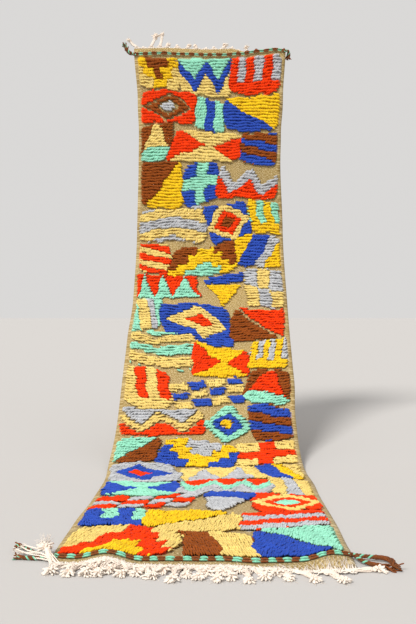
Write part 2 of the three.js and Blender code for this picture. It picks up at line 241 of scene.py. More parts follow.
def tubes(paths, radii, sides):
    """Round tubes along many paths at once: a ring of points about each path point, at the radius given
    there, closed by a point at each end. Returns the points, the faces and each corner's place round and
    along its tube."""
    paths = np.asarray(paths, float)
    count, steps = paths.shape[:2]
    radii = np.broadcast_to(radii, (count, steps))
    forward, side, up = carried_frames(paths)
    angle = 2 * np.pi * np.arange(sides) / sides
    reach = radii[:, :, None, None]
    rings = paths[:, :, None] + reach * (
        np.cos(angle)[:, None] * side[:, :, None] + np.sin(angle)[:, None] * up[:, :, None]
    )
    tips = paths[:, [0, -1]] + forward[:, [0, -1]] * radii[:, [0, -1], None] * ((-TUBE_TIP,), (TUBE_TIP,))
    points = np.concatenate([rings.reshape(count, -1, 3), tips], axis=1)
    first = (np.arange(count) * points.shape[1])[:, None, None]
    length = run_along(paths)
    faces, charts = [], []
    for corners, around, level in tube_faces(steps, sides):
        faces.append((corners + first).reshape(-1, corners.shape[1]))
        run = length[:, np.clip(level, 0, steps - 1)]
        charts.append(np.stack([np.broadcast_to(around, run.shape), run], axis=-1).reshape(-1, 2))
    return points.reshape(-1, 3), faces, np.concatenate(charts)


def spline(controls, steps):
    """Smooth paths through control points: Catmull-Rom cubics, sampled evenly between the first and last.
    controls is (paths, points, 3)."""
    controls = np.asarray(controls, float)
    padded = np.concatenate([
        2 * controls[:, :1] - controls[:, 1:2], controls, 2 * controls[:, -1:] - controls[:, -2:-1],
    ], axis=1)
    at = np.linspace(0, controls.shape[1] - 1, steps)
    span = np.minimum(at.astype(int), controls.shape[1] - 2)
    t = (at - span)[None, :, None]
    p0, p1, p2, p3 = (padded[:, span + k] for k in range(4))
    return 0.5 * (
        2 * p1 + (p2 - p0) * t + (2 * p0 - 5 * p1 + 4 * p2 - p3) * t ** 2
        + (3 * p1 - p0 - 3 * p2 + p3) * t ** 3
    )


def even(paths, steps):
    """The same paths with their points evenly apart."""
    at = np.linspace(0, 1, steps)
    return np.array([
        np.stack([np.interp(at * run[-1], run, path[:, k]) for k in range(3)], axis=-1)
        for path, run in zip(paths, run_along(paths))
    ])


def merged(parts):
    """One set of points, faces, UV pairs and layer values from several sets of tubes. The UV pairs of all
    bands come first, as their faces do, and then those of the ends."""
    points, bands, caps, band_charts, cap_charts, layers, offset = [], [], [], [], [], [], 0
    for found, faces, chart, values in parts:
        points.append(found)
        bands.append(faces[0] + offset)
        caps.append(faces[1] + offset)
        band_charts.append(chart[:faces[0].size])
        cap_charts.append(chart[faces[0].size:])
        layers.append(np.broadcast_to(values, (len(found), *np.shape(values)[1:])))
        offset += len(found)
    faces = [np.concatenate(bands), np.concatenate(caps)]
    return np.concatenate(points), faces, np.concatenate(band_charts + cap_charts), np.concatenate(layers)


# Colours, as linear red, green and blue.
DYES = {
    "b": ("blue", (0.030, 0.085, 0.48)),
    "o": ("orange", (0.97, 0.048, 0.001)),
    "g": ("gold", (1.0, 0.61, 0.014)),
    "n": ("brown", (0.30, 0.071, 0.009)),
    "m": ("mint", (0.335, 0.78, 0.575)),
    "l": ("lilac", (0.53, 0.545, 0.57)),
    "c": ("butter", (0.90, 0.66, 0.205)),
}
OLIVE = (0.35, 0.245, 0.084)
OLIVE_FLECK = (0.68, 0.555, 0.33)
OLIVE_GAP = (0.19, 0.118, 0.036)
CREAM = (0.85, 0.775, 0.69)
# Painted shade of the cream yarn: warm in the grooves between strands, darker where it lies deep.
CREAM_GROOVE_SHADE = (0.80, 0.62, 0.47)
CREAM_SHADE = (0.62, 0.40, 0.27)
CORD_BROWN = (0.27, 0.080, 0.024)
CORD_MINT = (0.27, 0.74, 0.51)
# Painted shade of the cords and tassels, nearly black.
CORD_SHADE = (0.06, 0.035, 0.015)
FLOOR_GREY = (0.475, 0.462, 0.45)
SKY_WHITE = (1.0, 0.985, 0.97)
LAMP_WHITE = (1.0, 0.975, 0.94)


# Motifs. Each takes places a across it and b up it, from -1 to 1, and a count or direction n, and gives
# the number of its dye there, 0 for bare ground.
def halves(a, b, n):
    """The first dye over a slanting line, n its slope, and the second under it."""
    return np.where(b > n * a, 1, 2)


def lozenge(a, b, n):
    """Rings |a| + |b|, one inside the other."""
    ring = np.abs(a) + np.abs(b)
    return np.select([ring < 0.34, ring < 0.72, ring < 1.16], [3, 2, 1], 4)


def framed(a, b, n):
    """A lozenge |a| + |b| with a core, on a filled block."""
    ring = np.abs(a) + np.abs(b)
    return np.select([ring < 0.38, ring < 0.86], [3, 2], 1)


def triangle(a, b, n):
    """Narrowing upwards for n 1 and downwards for n -1, its wide third in the second dye."""
    rise = n * b
    return np.where(np.abs(a) < 0.12 + (1 - rise) / 2, np.where(rise < -0.4, 2, 1), 3)


def hourglass(a, b, n):
    """Two triangles point to point, the side triangles in the second dye."""
    return np.where(np.abs(a) < np.abs(b) * 0.9 + 0.1, 1, 2)


def zigzag(a, b, n):
    """A band round a wave of n teeth, the second dye under it and the third over it."""
    wave = 4 * np.abs(((a + 1) * n / 2) % 1 - 0.5) - 1
    off = b - 0.5 * wave
    return np.where(np.abs(off) < 0.34, 1, np.where(off < 0, 2, 3))


def chevrons(a, b, n):
    """Stripes folded at the middle line, pointing along n."""
    return 1 + (np.floor(1.6 * b + np.sign(n) * 0.8 * np.abs(a) * abs(n) + 8) % 2).astype(int)


def comb(a, b, n):
    """A bar at the foot with n teeth, the gaps in the second dye."""
    return np.where((b < -0.4) | (((a + 1) * n / 2) % 1 < 0.52), 1, 2)


def stripes(a, b, n):
    """n stripes, one over the other, each rising a little to one side, in turns of two dyes."""
    return 1 + (np.floor((b + 1) * n / 2 + 0.25 * a) % 2).astype(int)


def bars(a, b, n):
    """n upright bars side by side, in turns of two dyes."""
    return 1 + (np.floor((a + 1) * n / 2) % 2).astype(int)


def checks(a, b, n):
    """n squares across and two thirds as many up, in turns of two dyes."""
    up = max(2, round(n * 0.67))
    return 1 + ((np.floor((a + 1) * n / 2) + np.floor((b + 1) * up / 2)) % 2).astype(int)


def steps(a, b, n):
    """Stepped sides, narrowing upwards for n above 0, with a core in the second dye."""
    level = (np.floor((1 - np.sign(n) * b) / 2 * abs(n)) + 1) / abs(n)
    return np.select([np.abs(a) < level - 0.5, np.abs(a) < level], [2, 1], 3)


def plus(a, b, n):
    """An upright and a level bar that cross in the middle, on the second dye."""
    return np.where((np.abs(a) < 0.27) | (np.abs(b) < 0.3), 1, 2)


def teeth(a, b, n):
    """n teeth pointing up in the first dye, with the second between them."""
    height = 1 - 2 * np.abs(((a + 1) * n / 2) % 1 - 0.5)
    return np.where(b < 2 * height - 1, 1, 2)


def slant(a, b, n):
    """A leaning bar, n its lean, with a stripe of the second dye down its right side."""
    off = a - 0.4 * n * b
    return np.where(np.abs(off) < 0.62, np.where(off > 0.2, 2, 1), 3)


# The design, down the runner from its top end in tiers: top and bottom of each motif measured from the
# top end of the pile, left and right from the middle, its kind, its n, and its dyes.
MOTIFS = (
    (0, 150, -326, -176, steps, -3, "gnc"),
    (0, 168, -156, 96, zigzag, 2, "bcm"),
    (0, 156, 112, 326, comb, 3, "ol."),
    (166, 330, -326, -92, framed, 1, "onl"),
    (186, 352, -74, 58, bars, 3, "mb."),
    (172, 340, 76, 326, halves, -1, "gb."),
    (346, 500, -326, -196, triangle, 1, "cmn"),
    (366, 520, -184, 132, hourglass, 1, "co."),
    (356, 506, 148, 326, stripes, 4, "bn."),
    (514, 690, -326, -128, halves, 1, "ng."),
    (536, 700, -108, 36, plus, 1, "mb."),
    (522, 684, 54, 326, zigzag, 2, "lo."),
    (706, 852, -326, -22, chevrons, 1, "lc."),
    (716, 874, 0, 178, lozenge, 1, "conb"),
    (700, 866, 196, 326, comb, 2, "gm."),
    (868, 1034, -326, -190, stripes, 5, "oc."),
    (890, 1046, -172, 104, steps, 4, "gmn"),
    (882, 1030, 120, 326, slant, 1, "blg"),
    (1050, 1196, -326, -64, teeth, 3, "mo."),
    (1062, 1224, -44, 132, triangle, -1, "gb."),
    (1046, 1206, 150, 326, checks, 3, "cl."),
    (1212, 1380, -326, -206, slant, -1, "clm"),
    (1240, 1420, -190, 62, framed, 1, "bco"),
    (1222, 1384, 80, 326, halves, -1, "on."),
    (1398, 1548, -326, -90, chevrons, -1, "cm."),
    (1436, 1588, -70, 146, hourglass, 1, "go."),
    (1400, 1560, 164, 326, comb, 3, "gl."),
    (1564, 1740, -326, -152, comb, 2, "co."),
    (1604, 1756, -134, 150, checks, 4, "cb."),
    (1576, 1736, 168, 326, triangle, 1, "omn"),
    (1756, 1906, -326, -30, zigzag, 2, "col"),
    (1772, 1930, -8, 160, lozenge, 1, "mbg."),
    (1752, 1916, 176, 326, stripes, 4, "nb."),
    (1922, 2084, -326, -176, halves, 1, "mn."),
    (1946, 2100, -156, 84, steps, -4, "glb"),
    (1932, 2088, 102, 326, plus, 1, "oc."),
    (2100, 2256, -326, -110, framed, 1, "lbo"),
    (2116, 2270, -90, 132, teeth, 2, "lc."),
    (2104, 2262, 150, 326, slant, -1, "bgc"),
    (2272, 2426, -326, -126, hourglass, 1, "mb."),
    (2286, 2438, -106, 190, zigzag, 3, "mlo"),
    (2278, 2430, 208, 326, bars, 3, "cl."),
    (2442, 2590, -326, -40, checks, 4, "ol."),
    (2454, 2604, -18, 146, triangle, -1, "lb."),
    (2446, 2600, 164, 326, lozenge, 1, "como"),
    (2606, 2764, -326, -180, comb, 2, "bm."),
    (2620, 2770, -160, 110, halves, 1, "gc."),
    (2612, 2758, 128, 326, stripes, 4, "lo."),
    (2780, 2964, -326, -60, steps, 4, "ogc"),
    (2784, 2964, -40, 120, bars, 2, "nc."),
    (2776, 2964, 138, 326, halves, -1, "mb."),
)
FIELD_HALF, FIELD_MARGIN = 326, 19
ROW_PITCH, TUFT_PITCH = 14, 5.65
PILE_START, PILE_END = PLAIN_FRONT + 1, CLOTH_LENGTH - PLAIN_TOP - 2

# How far a motif is stretched and widened past its place, its lean and tilt, the power of its rounded
# outline and the value there, and how far outlines waver and whole motifs drift. The drift fades out
# towards the ends. PARTED_SHARE of the motifs of these kinds have bare lines between their dyes.
MOTIF_STRETCH, MOTIF_GROWTH, MOTIF_LEAN, MOTIF_TILT = 3, 7, 0.17, 0.13
MOTIF_CORNERS, MOTIF_OUTLINE = (4, 11), 1.15
WAVER, DRIFT, DRIFT_SIZE, DRIFT_FADE = 5, 28, 560, 260
PARTED, PARTED_SHARE, PARTED_GAP = (zigzag, halves, slant, triangle, framed, chevrons, checks), 0.45, 5


def dye_at(along, place):
    """Number of the dye the design has at places on the cloth, and of the motif, -1 for bare ground.
    Each motif leans and tilts a little its own way inside a rounded outline |a|^p + |b|^p, some have bare
    lines between their dyes, and all outlines waver by smooth noise, as when knots are set by eye."""
    draw = np.random.default_rng(5)
    leans, tilts = draw.uniform(-1, 1, (2, len(MOTIFS)))
    powers, parting = draw.uniform(*MOTIF_CORNERS, len(MOTIFS)), draw.random(len(MOTIFS))
    inner = smooth(0, DRIFT_FADE, along - PILE_START) * smooth(0, DRIFT_FADE, PILE_END - along)
    down = PILE_END - along + WAVER * ripples(along, place, 90, 3)
    down = down + DRIFT * inner * ripples(along, place, DRIFT_SIZE, 6)
    side = place + WAVER * ripples(along, place, 80, 4)
    side = side + DRIFT * (1 - (place / FIELD_HALF) ** 2) * ripples(along, place, DRIFT_SIZE, 7)
    dye, motif = np.full(along.shape, -1), np.full(along.shape, -1)
    letters = list(DYES)
    for number, (top, bottom, left, right, kind, n, dyes) in enumerate(MOTIFS):
        top, bottom = top - MOTIF_STRETCH, bottom + MOTIF_STRETCH
        left, right = left - MOTIF_GROWTH, right + MOTIF_GROWTH
        a = (2 * side - left - right) / (right - left)
        b = (top + bottom - 2 * down) / (bottom - top)
        a, b = a + MOTIF_LEAN * leans[number] * b, b + MOTIF_TILT * tilts[number] * a
        power = powers[number]
        outline = np.abs(np.clip(a, -2, 2)) ** power + np.abs(np.clip(b, -2, 2)) ** power
        inside = outline <= MOTIF_OUTLINE
        part = kind(a, b, n)
        if kind in PARTED and parting[number] < PARTED_SHARE:
            off_a, off_b = 2 * PARTED_GAP / (right - left), 2 * PARTED_GAP / (bottom - top)
            same = (kind(a + off_a, b, n) == part) & (kind(a - off_a, b, n) == part)
            same &= (kind(a, b + off_b, n) == part) & (kind(a, b - off_b, n) == part)
            part = np.where(same, part, 0)
        for index, letter in enumerate(dyes, 1):
            if letter != ".":
                here = inside & (part == index)
                dye[here], motif[here] = letters.index(letter), number
    return dye, motif


def field_across(along, place):
    """Place across the cloth of a place in the pile's field, whose half width is FIELD_HALF."""
    left, right = tabled(LEFT_EDGE, along), tabled(RIGHT_EDGE, along)
    return (right - left) / 2 + place / FIELD_HALF * ((left + right) / 2 - FIELD_MARGIN)


# Pitch of the weave's ribs and of its warps in metres, and how many flecks of mixed yarn it has to the
# metre across and along.
RIB_PITCH, WARP_PITCH = 0.0026, 0.0034
FLECKS = (180.0, 270.0, 1.0)

# Grains to the unit, detail and roughness of each noise: a yarn's fibres, and the weave's fine grain, broad
# patches and flecks.
YARN_FIBRES, WEAVE_GRAIN = (420.0, 3.0, 0.6), (260.0, 3.0, 0.65)
WEAVE_PATCHES, WEAVE_FLECKS = (9.0, 2.0, 0.5), (1.0, 3.0, 0.75)


def node_tree(name):
    """A material with a Principled shader, its node tree and a short way to add and join nodes."""
    material = bpy.data.materials.new(name)
    material.use_nodes = True
    tree = material.node_tree
    shader = tree.nodes["Principled BSDF"]

    def add(kind, settings=(), **inputs):
        """A new node with these settings; an input i3 is its fourth one, and any other goes by its name."""
        node = tree.nodes.new(kind)
        for key, value in dict(settings).items():
            setattr(node, key, value)
        for key, value in inputs.items():
            socket = node.inputs[int(key[1:])] if key[0] == "i" and key[1:].isdigit() else node.inputs[key]
            if isinstance(value, bpy.types.NodeSocket):
                tree.links.new(value, socket)
            else:
                socket.default_value = value
        return node

    return material, shader, tree, add


def attribute(add, name):
    """Value of a point's layer."""
    return add("ShaderNodeAttribute", {"attribute_name": name}).outputs["Fac"]


def blended(add, factor, low, high):
    """Colour between low and high by a factor."""
    return add("ShaderNodeMix", {"data_type": "RGBA"}, i0=factor, i6=low, i7=high).outputs[2]


def tint(add, factor, low, high):
    """The same between two plain colours."""
    return blended(add, factor, (*low, 1), (*high, 1))


def scaled(add, value, from_low, from_high, to_low, to_high):
    """A value carried in proportion from one range to another, and held inside it."""
    node = add("ShaderNodeMapRange", {}, i0=value, i1=from_low, i2=from_high, i3=to_low, i4=to_high)
    return node.outputs[0]


def maths(add, operation, *values):
    """Result of an operation on one, two or three values."""
    inputs = {f"i{place}": value for place, value in enumerate(values)}
    return add("ShaderNodeMath", {"operation": operation}, **inputs).outputs[0]


def speckle(add, where, scale, detail, roughness):
    """Smooth noise at a place, scale grains to its unit."""
    noise = add("ShaderNodeTexNoise", {}, Vector=where, Scale=scale, Detail=detail, Roughness=roughness)
    return noise.outputs[0]


def shade(colour, by):
    """A colour times by, no part of it over 1."""
    return tuple(min(1.0, c * by) for c in colour)


def finished(made, colour, height, strength, depth, roughness, gloss, sheen):
    """The material with its colour, a bump of this height, strength and depth in metres, and how rough,
    glossy and fuzzy it is."""
    material, shader, tree, add = made
    bump = add("ShaderNodeBump", {}, Strength=strength, Distance=depth, Height=height).outputs[0]
    tree.links.new(colour, shader.inputs["Base Color"])
    tree.links.new(bump, shader.inputs["Normal"])
    shader.inputs["Roughness"].default_value = roughness
    shader.inputs["Specular IOR Level"].default_value = gloss
    shader.inputs["Sheen Weight"].default_value = sheen
    return material


def yarn_shader(name, colours, strand_turns, strand_length, depth, sheen):
    """Spun wool: its thin strands show as slanting ridges, a sine of the place round and along the yarn on
    its own chart, under a fine speckle of fibres. colours makes the colour from the fibres and ridges."""
    made = node_tree(name)
    shader, add = made[1], made[3]
    chart = add("ShaderNodeUVMap", {"uv_map": "yarn"}).outputs[0]
    parts = add("ShaderNodeSeparateXYZ", {}, i0=chart).outputs
    slanted = maths(add, "MULTIPLY", parts[1], 2 * math.pi / strand_length)
    turned = maths(add, "MULTIPLY_ADD", parts[0], 2 * math.pi * strand_turns, slanted)
    ridge = maths(add, "SINE", turned)
    fibre = speckle(add, add("ShaderNodeTexCoord").outputs["Object"], *YARN_FIBRES)
    height = maths(add, "MULTIPLY_ADD", fibre, 0.9, scaled(add, ridge, -1, 1, 0, 0.8))
    shader.inputs["Sheen Roughness"].default_value = 0.45
    return finished(made, colours(add, fibre, ridge), height, 0.55, depth, 0.92, 0.1, sheen)


def pile_wool(name, colour):
    """Knotted pile: each tuft has its own tone, and painted shade darkens its root more than its cut end."""
    def colours(add, fibre, ridge):
        """The tone, with darker specks, painted shade in the grooves between strands and, darker, at the
        root.
        """
        tone = tint(add, attribute(add, "tone"), shade(colour, 0.66), shade(colour, 1.22))
        speck = blended(add, scaled(add, fibre, 0.3, 0.75, 0.0, 1.0), (*shade(colour, 0.72), 1), tone)
        # Painted shade: darker where the strands' ridge sine is low, in the grooves between them.
        painted_groove = blended(add, scaled(add, ridge, -1, 0.2, 0.30, 0.0), speck, (*shade(colour, 0.5), 1))
        # Painted shade: the root end of each tuft is darkened towards 0.45 of its colour.
        painted_root_shade = scaled(add, attribute(add, "tip"), 0.0, 0.45, 0.35, 0.0)
        return blended(add, painted_root_shade, painted_groove, (*shade(colour, 0.45), 1))
    return yarn_shader(name, colours, 3, 0.011, 0.0008, 0.05)


def cord_wool():
    """Brown and mint yarn by its dye value, darkened towards nearly black by its shade and tone value."""
    def colours(add, fibre, ridge):
        """The dye, darker specks, painted shade in the strands' grooves, and CORD_SHADE by shade and tone."""
        dyed = tint(add, attribute(add, "dye"), CORD_BROWN, CORD_MINT)
        dark = tint(add, attribute(add, "dye"), shade(CORD_BROWN, 0.55), shade(CORD_MINT, 0.6))
        speck = blended(add, scaled(add, fibre, 0.35, 0.7, 0.0, 1.0), dark, dyed)
        # Painted shade in the grooves between the strands.
        painted_groove = blended(add, scaled(add, ridge, -1, 0, 0.4, 0.0), speck, dark)
        # Painted shade towards nearly black where the cord lies low by the weave and on lumps; tassel ropes
        # and loose yarns get set or random darkening.
        deep = scaled(add, attribute(add, "deep"), 0.2, 1.0, 0.0, 0.9)
        return blended(add, deep, painted_groove, (*CORD_SHADE, 1))
    return yarn_shader("cord wool", colours, 3, 0.012, 0.0006, 0.05)


def warp_yarn():
    """Undyed warp yarn, with a warm painted shade in its grooves and where it lies deep in a bundle or knot.
    """
    def colours(add, fibre, ridge):
        """Cream with duller specks, painted shade in the grooves between strands, and more where it lies
        deep.
        """
        speck = tint(add, scaled(add, fibre, 0.3, 0.7, 0.0, 1.0), shade(CREAM, 0.88), CREAM)
        # Painted shade in the grooves between the strands.
        painted_groove = blended(add, scaled(add, ridge, -1, 0.1, 0.35, 0.0), speck, (*CREAM_GROOVE_SHADE, 1))
        # Painted shade where the yarn lies deep in a bundle, knot or tuft.
        return blended(add, attribute(add, "deep"), painted_groove, (*CREAM_SHADE, 1))
    return yarn_shader("warp yarn", colours, 2, 0.007, 0.0005, 0.1)


def weave_wool():
    """Flat weave: weft ribs across and warp lines along the cloth, each a sine on its own chart, with painted
    shade where the sines are low between the threads, speckled by the mixed yarn. Under the pile it takes
    the pile's dye, and the back shows each knot as a short dash of its dye, on the pile's rows."""
    made = node_tree("olive weave")
    add = made[3]
    chart = add("ShaderNodeUVMap", {"uv_map": "cloth"}).outputs[0]
    parts = add("ShaderNodeSeparateXYZ", {}, i0=chart).outputs

    def wave(value, pitch):
        """A sine that comes back once in pitch metres."""
        return maths(add, "SINE", maths(add, "MULTIPLY", value, 2 * math.pi / pitch))

    weave = maths(add, "MULTIPLY", wave(parts[1], RIB_PITCH), wave(parts[0], WARP_PITCH))
    ribbed = add("ShaderNodeVectorMath", {"operation": "MULTIPLY"}, i0=chart, i1=FLECKS).outputs[0]
    dashes = speckle(add, ribbed, *WEAVE_FLECKS)
    where = add("ShaderNodeTexCoord").outputs["Object"]
    fine, broad = speckle(add, where, *WEAVE_GRAIN), speckle(add, where, *WEAVE_PATCHES)
    base = tint(add, scaled(add, broad, 0.35, 0.65, 0.0, 1.0), shade(OLIVE, 0.88), shade(OLIVE, 1.12))
    speck = blended(add, scaled(add, dashes, 0.51, 0.62, 0.0, 1.0), base, (*OLIVE_FLECK, 1))
    dark = blended(add, scaled(add, dashes, 0.49, 0.38, 0.0, 1.0), speck, (*OLIVE_GAP, 1))
    # Painted shade: darkened towards 0.55 of the olive where the rib and warp sines are low, between threads.
    ground = blended(add, scaled(add, weave, -1, 1, 0.28, 0.0), dark, (*shade(OLIVE, 0.55), 1))
    knot_row = scaled(add, wave(parts[1], ROW_PITCH * MM), -0.1, 0.25, 0.0, 1.0)
    knot_stitch = scaled(add, wave(parts[0], TUFT_PITCH * MM), -0.95, -0.5, 0.0, 1.0)
    dash = maths(add, "MULTIPLY", knot_row, knot_stitch)
    shown = maths(add, "MULTIPLY", dash, attribute(add, "knotted"))
    dye = add("ShaderNodeAttribute", {"attribute_name": "dye"}).outputs["Color"]
    colour = blended(add, attribute(add, "covered"), blended(add, shown, ground, dye), dye)
    height = maths(add, "MULTIPLY_ADD", weave, 0.35, maths(add, "ADD", fine, shown))
    return finished(made, colour, height, 0.5, 0.0009, 0.95, 0.15, 0.1)


def plain(name, colour, roughness):
    """One even colour."""
    material, shader = node_tree(name)[:2]
    shader.inputs["Base Color"].default_value = (*colour, 1)
    shader.inputs["Roughness"].default_value = roughness
    return material


# The woven ground: a grid of points on its face and one on its back, closed round the rim. The rim is how
# far in from the sides and the ends it is rounded, and how far its face comes down and its back goes up.
# The weave takes the pile's dye where the design has one on all sides of it, COVER_REACH away.
GROUND_ROWS, GROUND_COLUMNS = 260, 58
RIM_SIDE, RIM_END, RIM_DOWN, RIM_UP = 5, 4, 2.2, 1.2
COVER_REACH = 9


def woven_ground():
    """Grid of places along and across; the face lies at the weave's thickness, rounded down at the rim,
    with two beads |sin| side by side on each selvedge, and the back at 0."""
    from_front, from_top = np.array([0, 1.5, 6, FRONT_STRIP]), np.array([FOLD_STRIP, 6, 1.5, 0])
    rows = np.linspace(0, CLOTH_LENGTH, GROUND_ROWS)
    along = np.unique(np.concatenate([rows, from_front, CLOTH_LENGTH - from_top]))
    u, s = np.meshgrid(along, np.linspace(-1, 1, GROUND_COLUMNS), indexing="ij")
    across = across_at(u, s)
    half = (tabled(LEFT_EDGE, u) + tabled(RIGHT_EDGE, u)) / 2
    from_edge = (1 - np.abs(s)) * half
    from_end = np.minimum(u, CLOTH_LENGTH - u)
    plump = 1 - smooth(SELVEDGE_WIDTH - 4, SELVEDGE_WIDTH + 2, from_edge)
    bead = plump * (SELVEDGE - WEAVE) * np.abs(np.sin(np.pi * from_edge / SELVEDGE_WIDTH * 2)) ** 0.5
    rim = np.minimum(smooth(0, RIM_SIDE, from_edge), smooth(0, RIM_END, from_end))
    face = WEAVE - RIM_DOWN * (1 - rim) + bead * rim
    back = RIM_UP * (1 - rim)
    points = np.stack([cloth_point(u, across, face), cloth_point(u, across, back)])
    rows, columns = u.shape
    place = np.arange(2 * rows * columns).reshape(2, rows, columns)

    def quads(a, b, c, d):
        """Faces whose four corners are the numbers in a, b, c and d."""
        return np.stack([a, b, c, d], axis=-1).reshape(-1, 4)

    f, k = place
    faces = np.concatenate([
        quads(f[:-1, :-1], f[:-1, 1:], f[1:, 1:], f[1:, :-1]),
        quads(k[:-1, 1:], k[:-1, :-1], k[1:, :-1], k[1:, 1:]),
        quads(k[:-1, 0], f[:-1, 0], f[1:, 0], k[1:, 0]),
        quads(f[:-1, -1], k[:-1, -1], k[1:, -1], f[1:, -1]),
        quads(k[0, :-1], k[0, 1:], f[0, 1:], f[0, :-1]),
        quads(f[-1, :-1], f[-1, 1:], k[-1, 1:], k[-1, :-1]),
    ])
    field = np.clip(s * half / (half - FIELD_MARGIN), -1, 1) * FIELD_HALF
    dye = dye_at(u, field)[0]
    knotted = (dye >= 0) & (u > PILE_START) & (u < PILE_END) & (from_edge > FIELD_MARGIN)
    palette = np.array([(*colour, 1) for name, colour in DYES.values()])
    covered = knotted.copy()
    for off, aside in ((1, 0), (-1, 0), (0, 1), (0, -1)):
        covered &= dye_at(u + off * COVER_REACH, field + aside * COVER_REACH)[0] >= 0
    layers = (
        ("dye", np.concatenate([palette[dye].reshape(-1, 4)] * 2)),
        ("knotted", np.concatenate([np.zeros(knotted.size), knotted.ravel()])),
        ("covered", np.concatenate([covered.ravel(), np.zeros(knotted.size)])),
    )
    chart = np.stack([field, u], axis=-1).reshape(-1, 2) * MM
    maps = (("cloth", np.concatenate([chart, chart])[faces.ravel()]),)
    ground = mesh_object("woven_ground", points, [faces], weave_wool(), layers, maps)
    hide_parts("runner")
    return ground


# The pile. Each tuft is a root point, three oval rings and a tip point along its path: the shares of its
# length and of its height at the five, and the girths of the rings.
TUFT_REACH = (0.0, 0.26, 0.64, 0.95, 1.0)
TUFT_RISE = (0.0, 0.72, 1.0, 0.80, 0.68)
TUFT_GIRTH = (0.92, 1.04, 0.80)
TUFT_SIDES, TUFT_FLATNESS = 5, 0.78

# The tip stands out past the last ring and down by these shares of the girth. A root starts ROOT_DEPTH
# under the weave's face, and nothing lies lower than LOWEST over its back.
TIP_ON, TIP_DOWN, ROOT_DEPTH, LOWEST = 0.35, 0.2, 1, 1.0

# A tuft covers TUFT_RUN down the cloth however it leans, within its shortest and longest.
TUFT_RUN, TUFT_SHORTEST, TUFT_LONGEST, TUFT_HEIGHT, TUFT_RADIUS = 12.5, 22, 29, 8.6, 3.6

# How far rows sway, ripple and scatter, and by what share tufts differ in length, height and girth.
ROW_SWAY, ROW_RIPPLE, KNOT_RIPPLE, KNOT_SCATTER, PLACE_SCATTER = 4.5, 1.5, 1.9, 0.7, 0.8
LENGTH_SPREAD, HEIGHT_SPREAD, HEIGHT_SWAY, GIRTH_SPREAD = 0.09, 0.10, 0.12, 0.10

# Lean in degrees: each motif's own, to one side or the other, how it sways, and how it ripples, more in
# the share of motifs that are ruffled. Then the range of each motif's own length.
MOTIF_SLOPE, SLOPE_SWAY, SLOPE_RIPPLE, SLOPE_RUFFLE, SLOPE_SCATTER = (22, 62), 12, 7, 40, 5
RUFFLED_SHARE, MOTIF_LENGTH = 0.16, (0.94, 1.08)

# A tuft that would cross an outline moves back and is shorter by these shares of its length.
DRAWN_BACK, CUT_SHORT = 0.13, 0.18

# Tone from 0 to 1: how far single tufts, soft patches and the rows of a motif differ.
TUFT_TONE, PATCH_TONE, ROW_TONE = 0.17, 0.22, 0.13

# A tuft's own cell on the baking chart has this margin, and is this wide inside it.
CELL_MARGIN, CELL_INSIDE = 0.08, 0.84


def tuft_layout():
    """Roots on wavering rows wherever the design has a dye. Each tuft leans sideways with its neighbours,
    its middle on its place in the design, and draws back where its end would cross an outline. Returns
    where its middle is, its lean, length, height, girth, tone and dye."""
    draw = np.random.default_rng(11)
    rows, columns = int((PILE_END - PILE_START) / ROW_PITCH), int(2 * FIELD_HALF / TUFT_PITCH)
    row, column = (part.ravel() for part in np.meshgrid(np.arange(rows), np.arange(columns), indexing="ij"))
    place = -FIELD_HALF + TUFT_PITCH * (column + 0.25 + 0.5 * (row % 2))
    place = place + draw.uniform(-PLACE_SCATTER, PLACE_SCATTER, place.shape)
    along = PILE_START + ROW_PITCH * (row + 0.5)
    along = along + ROW_SWAY * ripples(along, place, 190, 8) + ROW_RIPPLE * ripples(along, place, 50, 9)
    scatter = draw.normal(0, KNOT_SCATTER, place.shape)
    along = along + KNOT_RIPPLE * ripples(4 * along, place, 65, 10) + scatter
    dye, motif = dye_at(along, place)
    keep = (dye >= 0) & (np.abs(place) < FIELD_HALF)
    row, place, along, dye, motif = (part[keep] for part in (row, place, along, dye, motif))
    count = len(along)
    slope = draw.choice((-1, 1), len(MOTIFS)) * draw.uniform(*MOTIF_SLOPE, len(MOTIFS))
    size = draw.uniform(*MOTIF_LENGTH, len(MOTIFS))
    ruffled = draw.random(len(MOTIFS)) < RUFFLED_SHARE
    rippled = np.where(ruffled[motif], SLOPE_RUFFLE, SLOPE_RIPPLE) * ripples(along, place, 50, 22)
    lean = slope[motif] + SLOPE_SWAY * ripples(along, place, 130, 21) + rippled
    lean = np.radians(lean + draw.normal(0, SLOPE_SCATTER, count))
    length = np.clip(TUFT_RUN / np.cos(lean), TUFT_SHORTEST, TUFT_LONGEST)
    length = length * size[motif] * (1 + draw.normal(0, LENGTH_SPREAD, count))
    sin, cos = np.sin(lean), np.cos(lean)
    out_at_root, out_at_tip = (
        dye_at(along - end * length * cos, place + end * length * sin)[0] != dye for end in (-0.5, 0.5)
    )
    shift = DRAWN_BACK * length * (out_at_root.astype(float) - out_at_tip)
    along, place = along - shift * cos, place + shift * sin
    length = length * (1 - CUT_SHORT * out_at_root - CUT_SHORT * out_at_tip)
    uneven = 1 + draw.normal(0, HEIGHT_SPREAD, count) + HEIGHT_SWAY * ripples(along, place, 55, 23)
    rise = TUFT_HEIGHT * uneven
    girth = TUFT_RADIUS * (1 + draw.normal(0, GIRTH_SPREAD, count))
    batch = draw.normal(0, 1, (rows, len(MOTIFS)))[row, motif]
    tone = 0.5 + TUFT_TONE * draw.normal(0, 1, count)
    tone = tone + PATCH_TONE * ripples(along, place, 70, 25) + ROW_TONE * batch
    return along, place, lean, length, rise, girth, np.clip(tone, 0, 1), dye


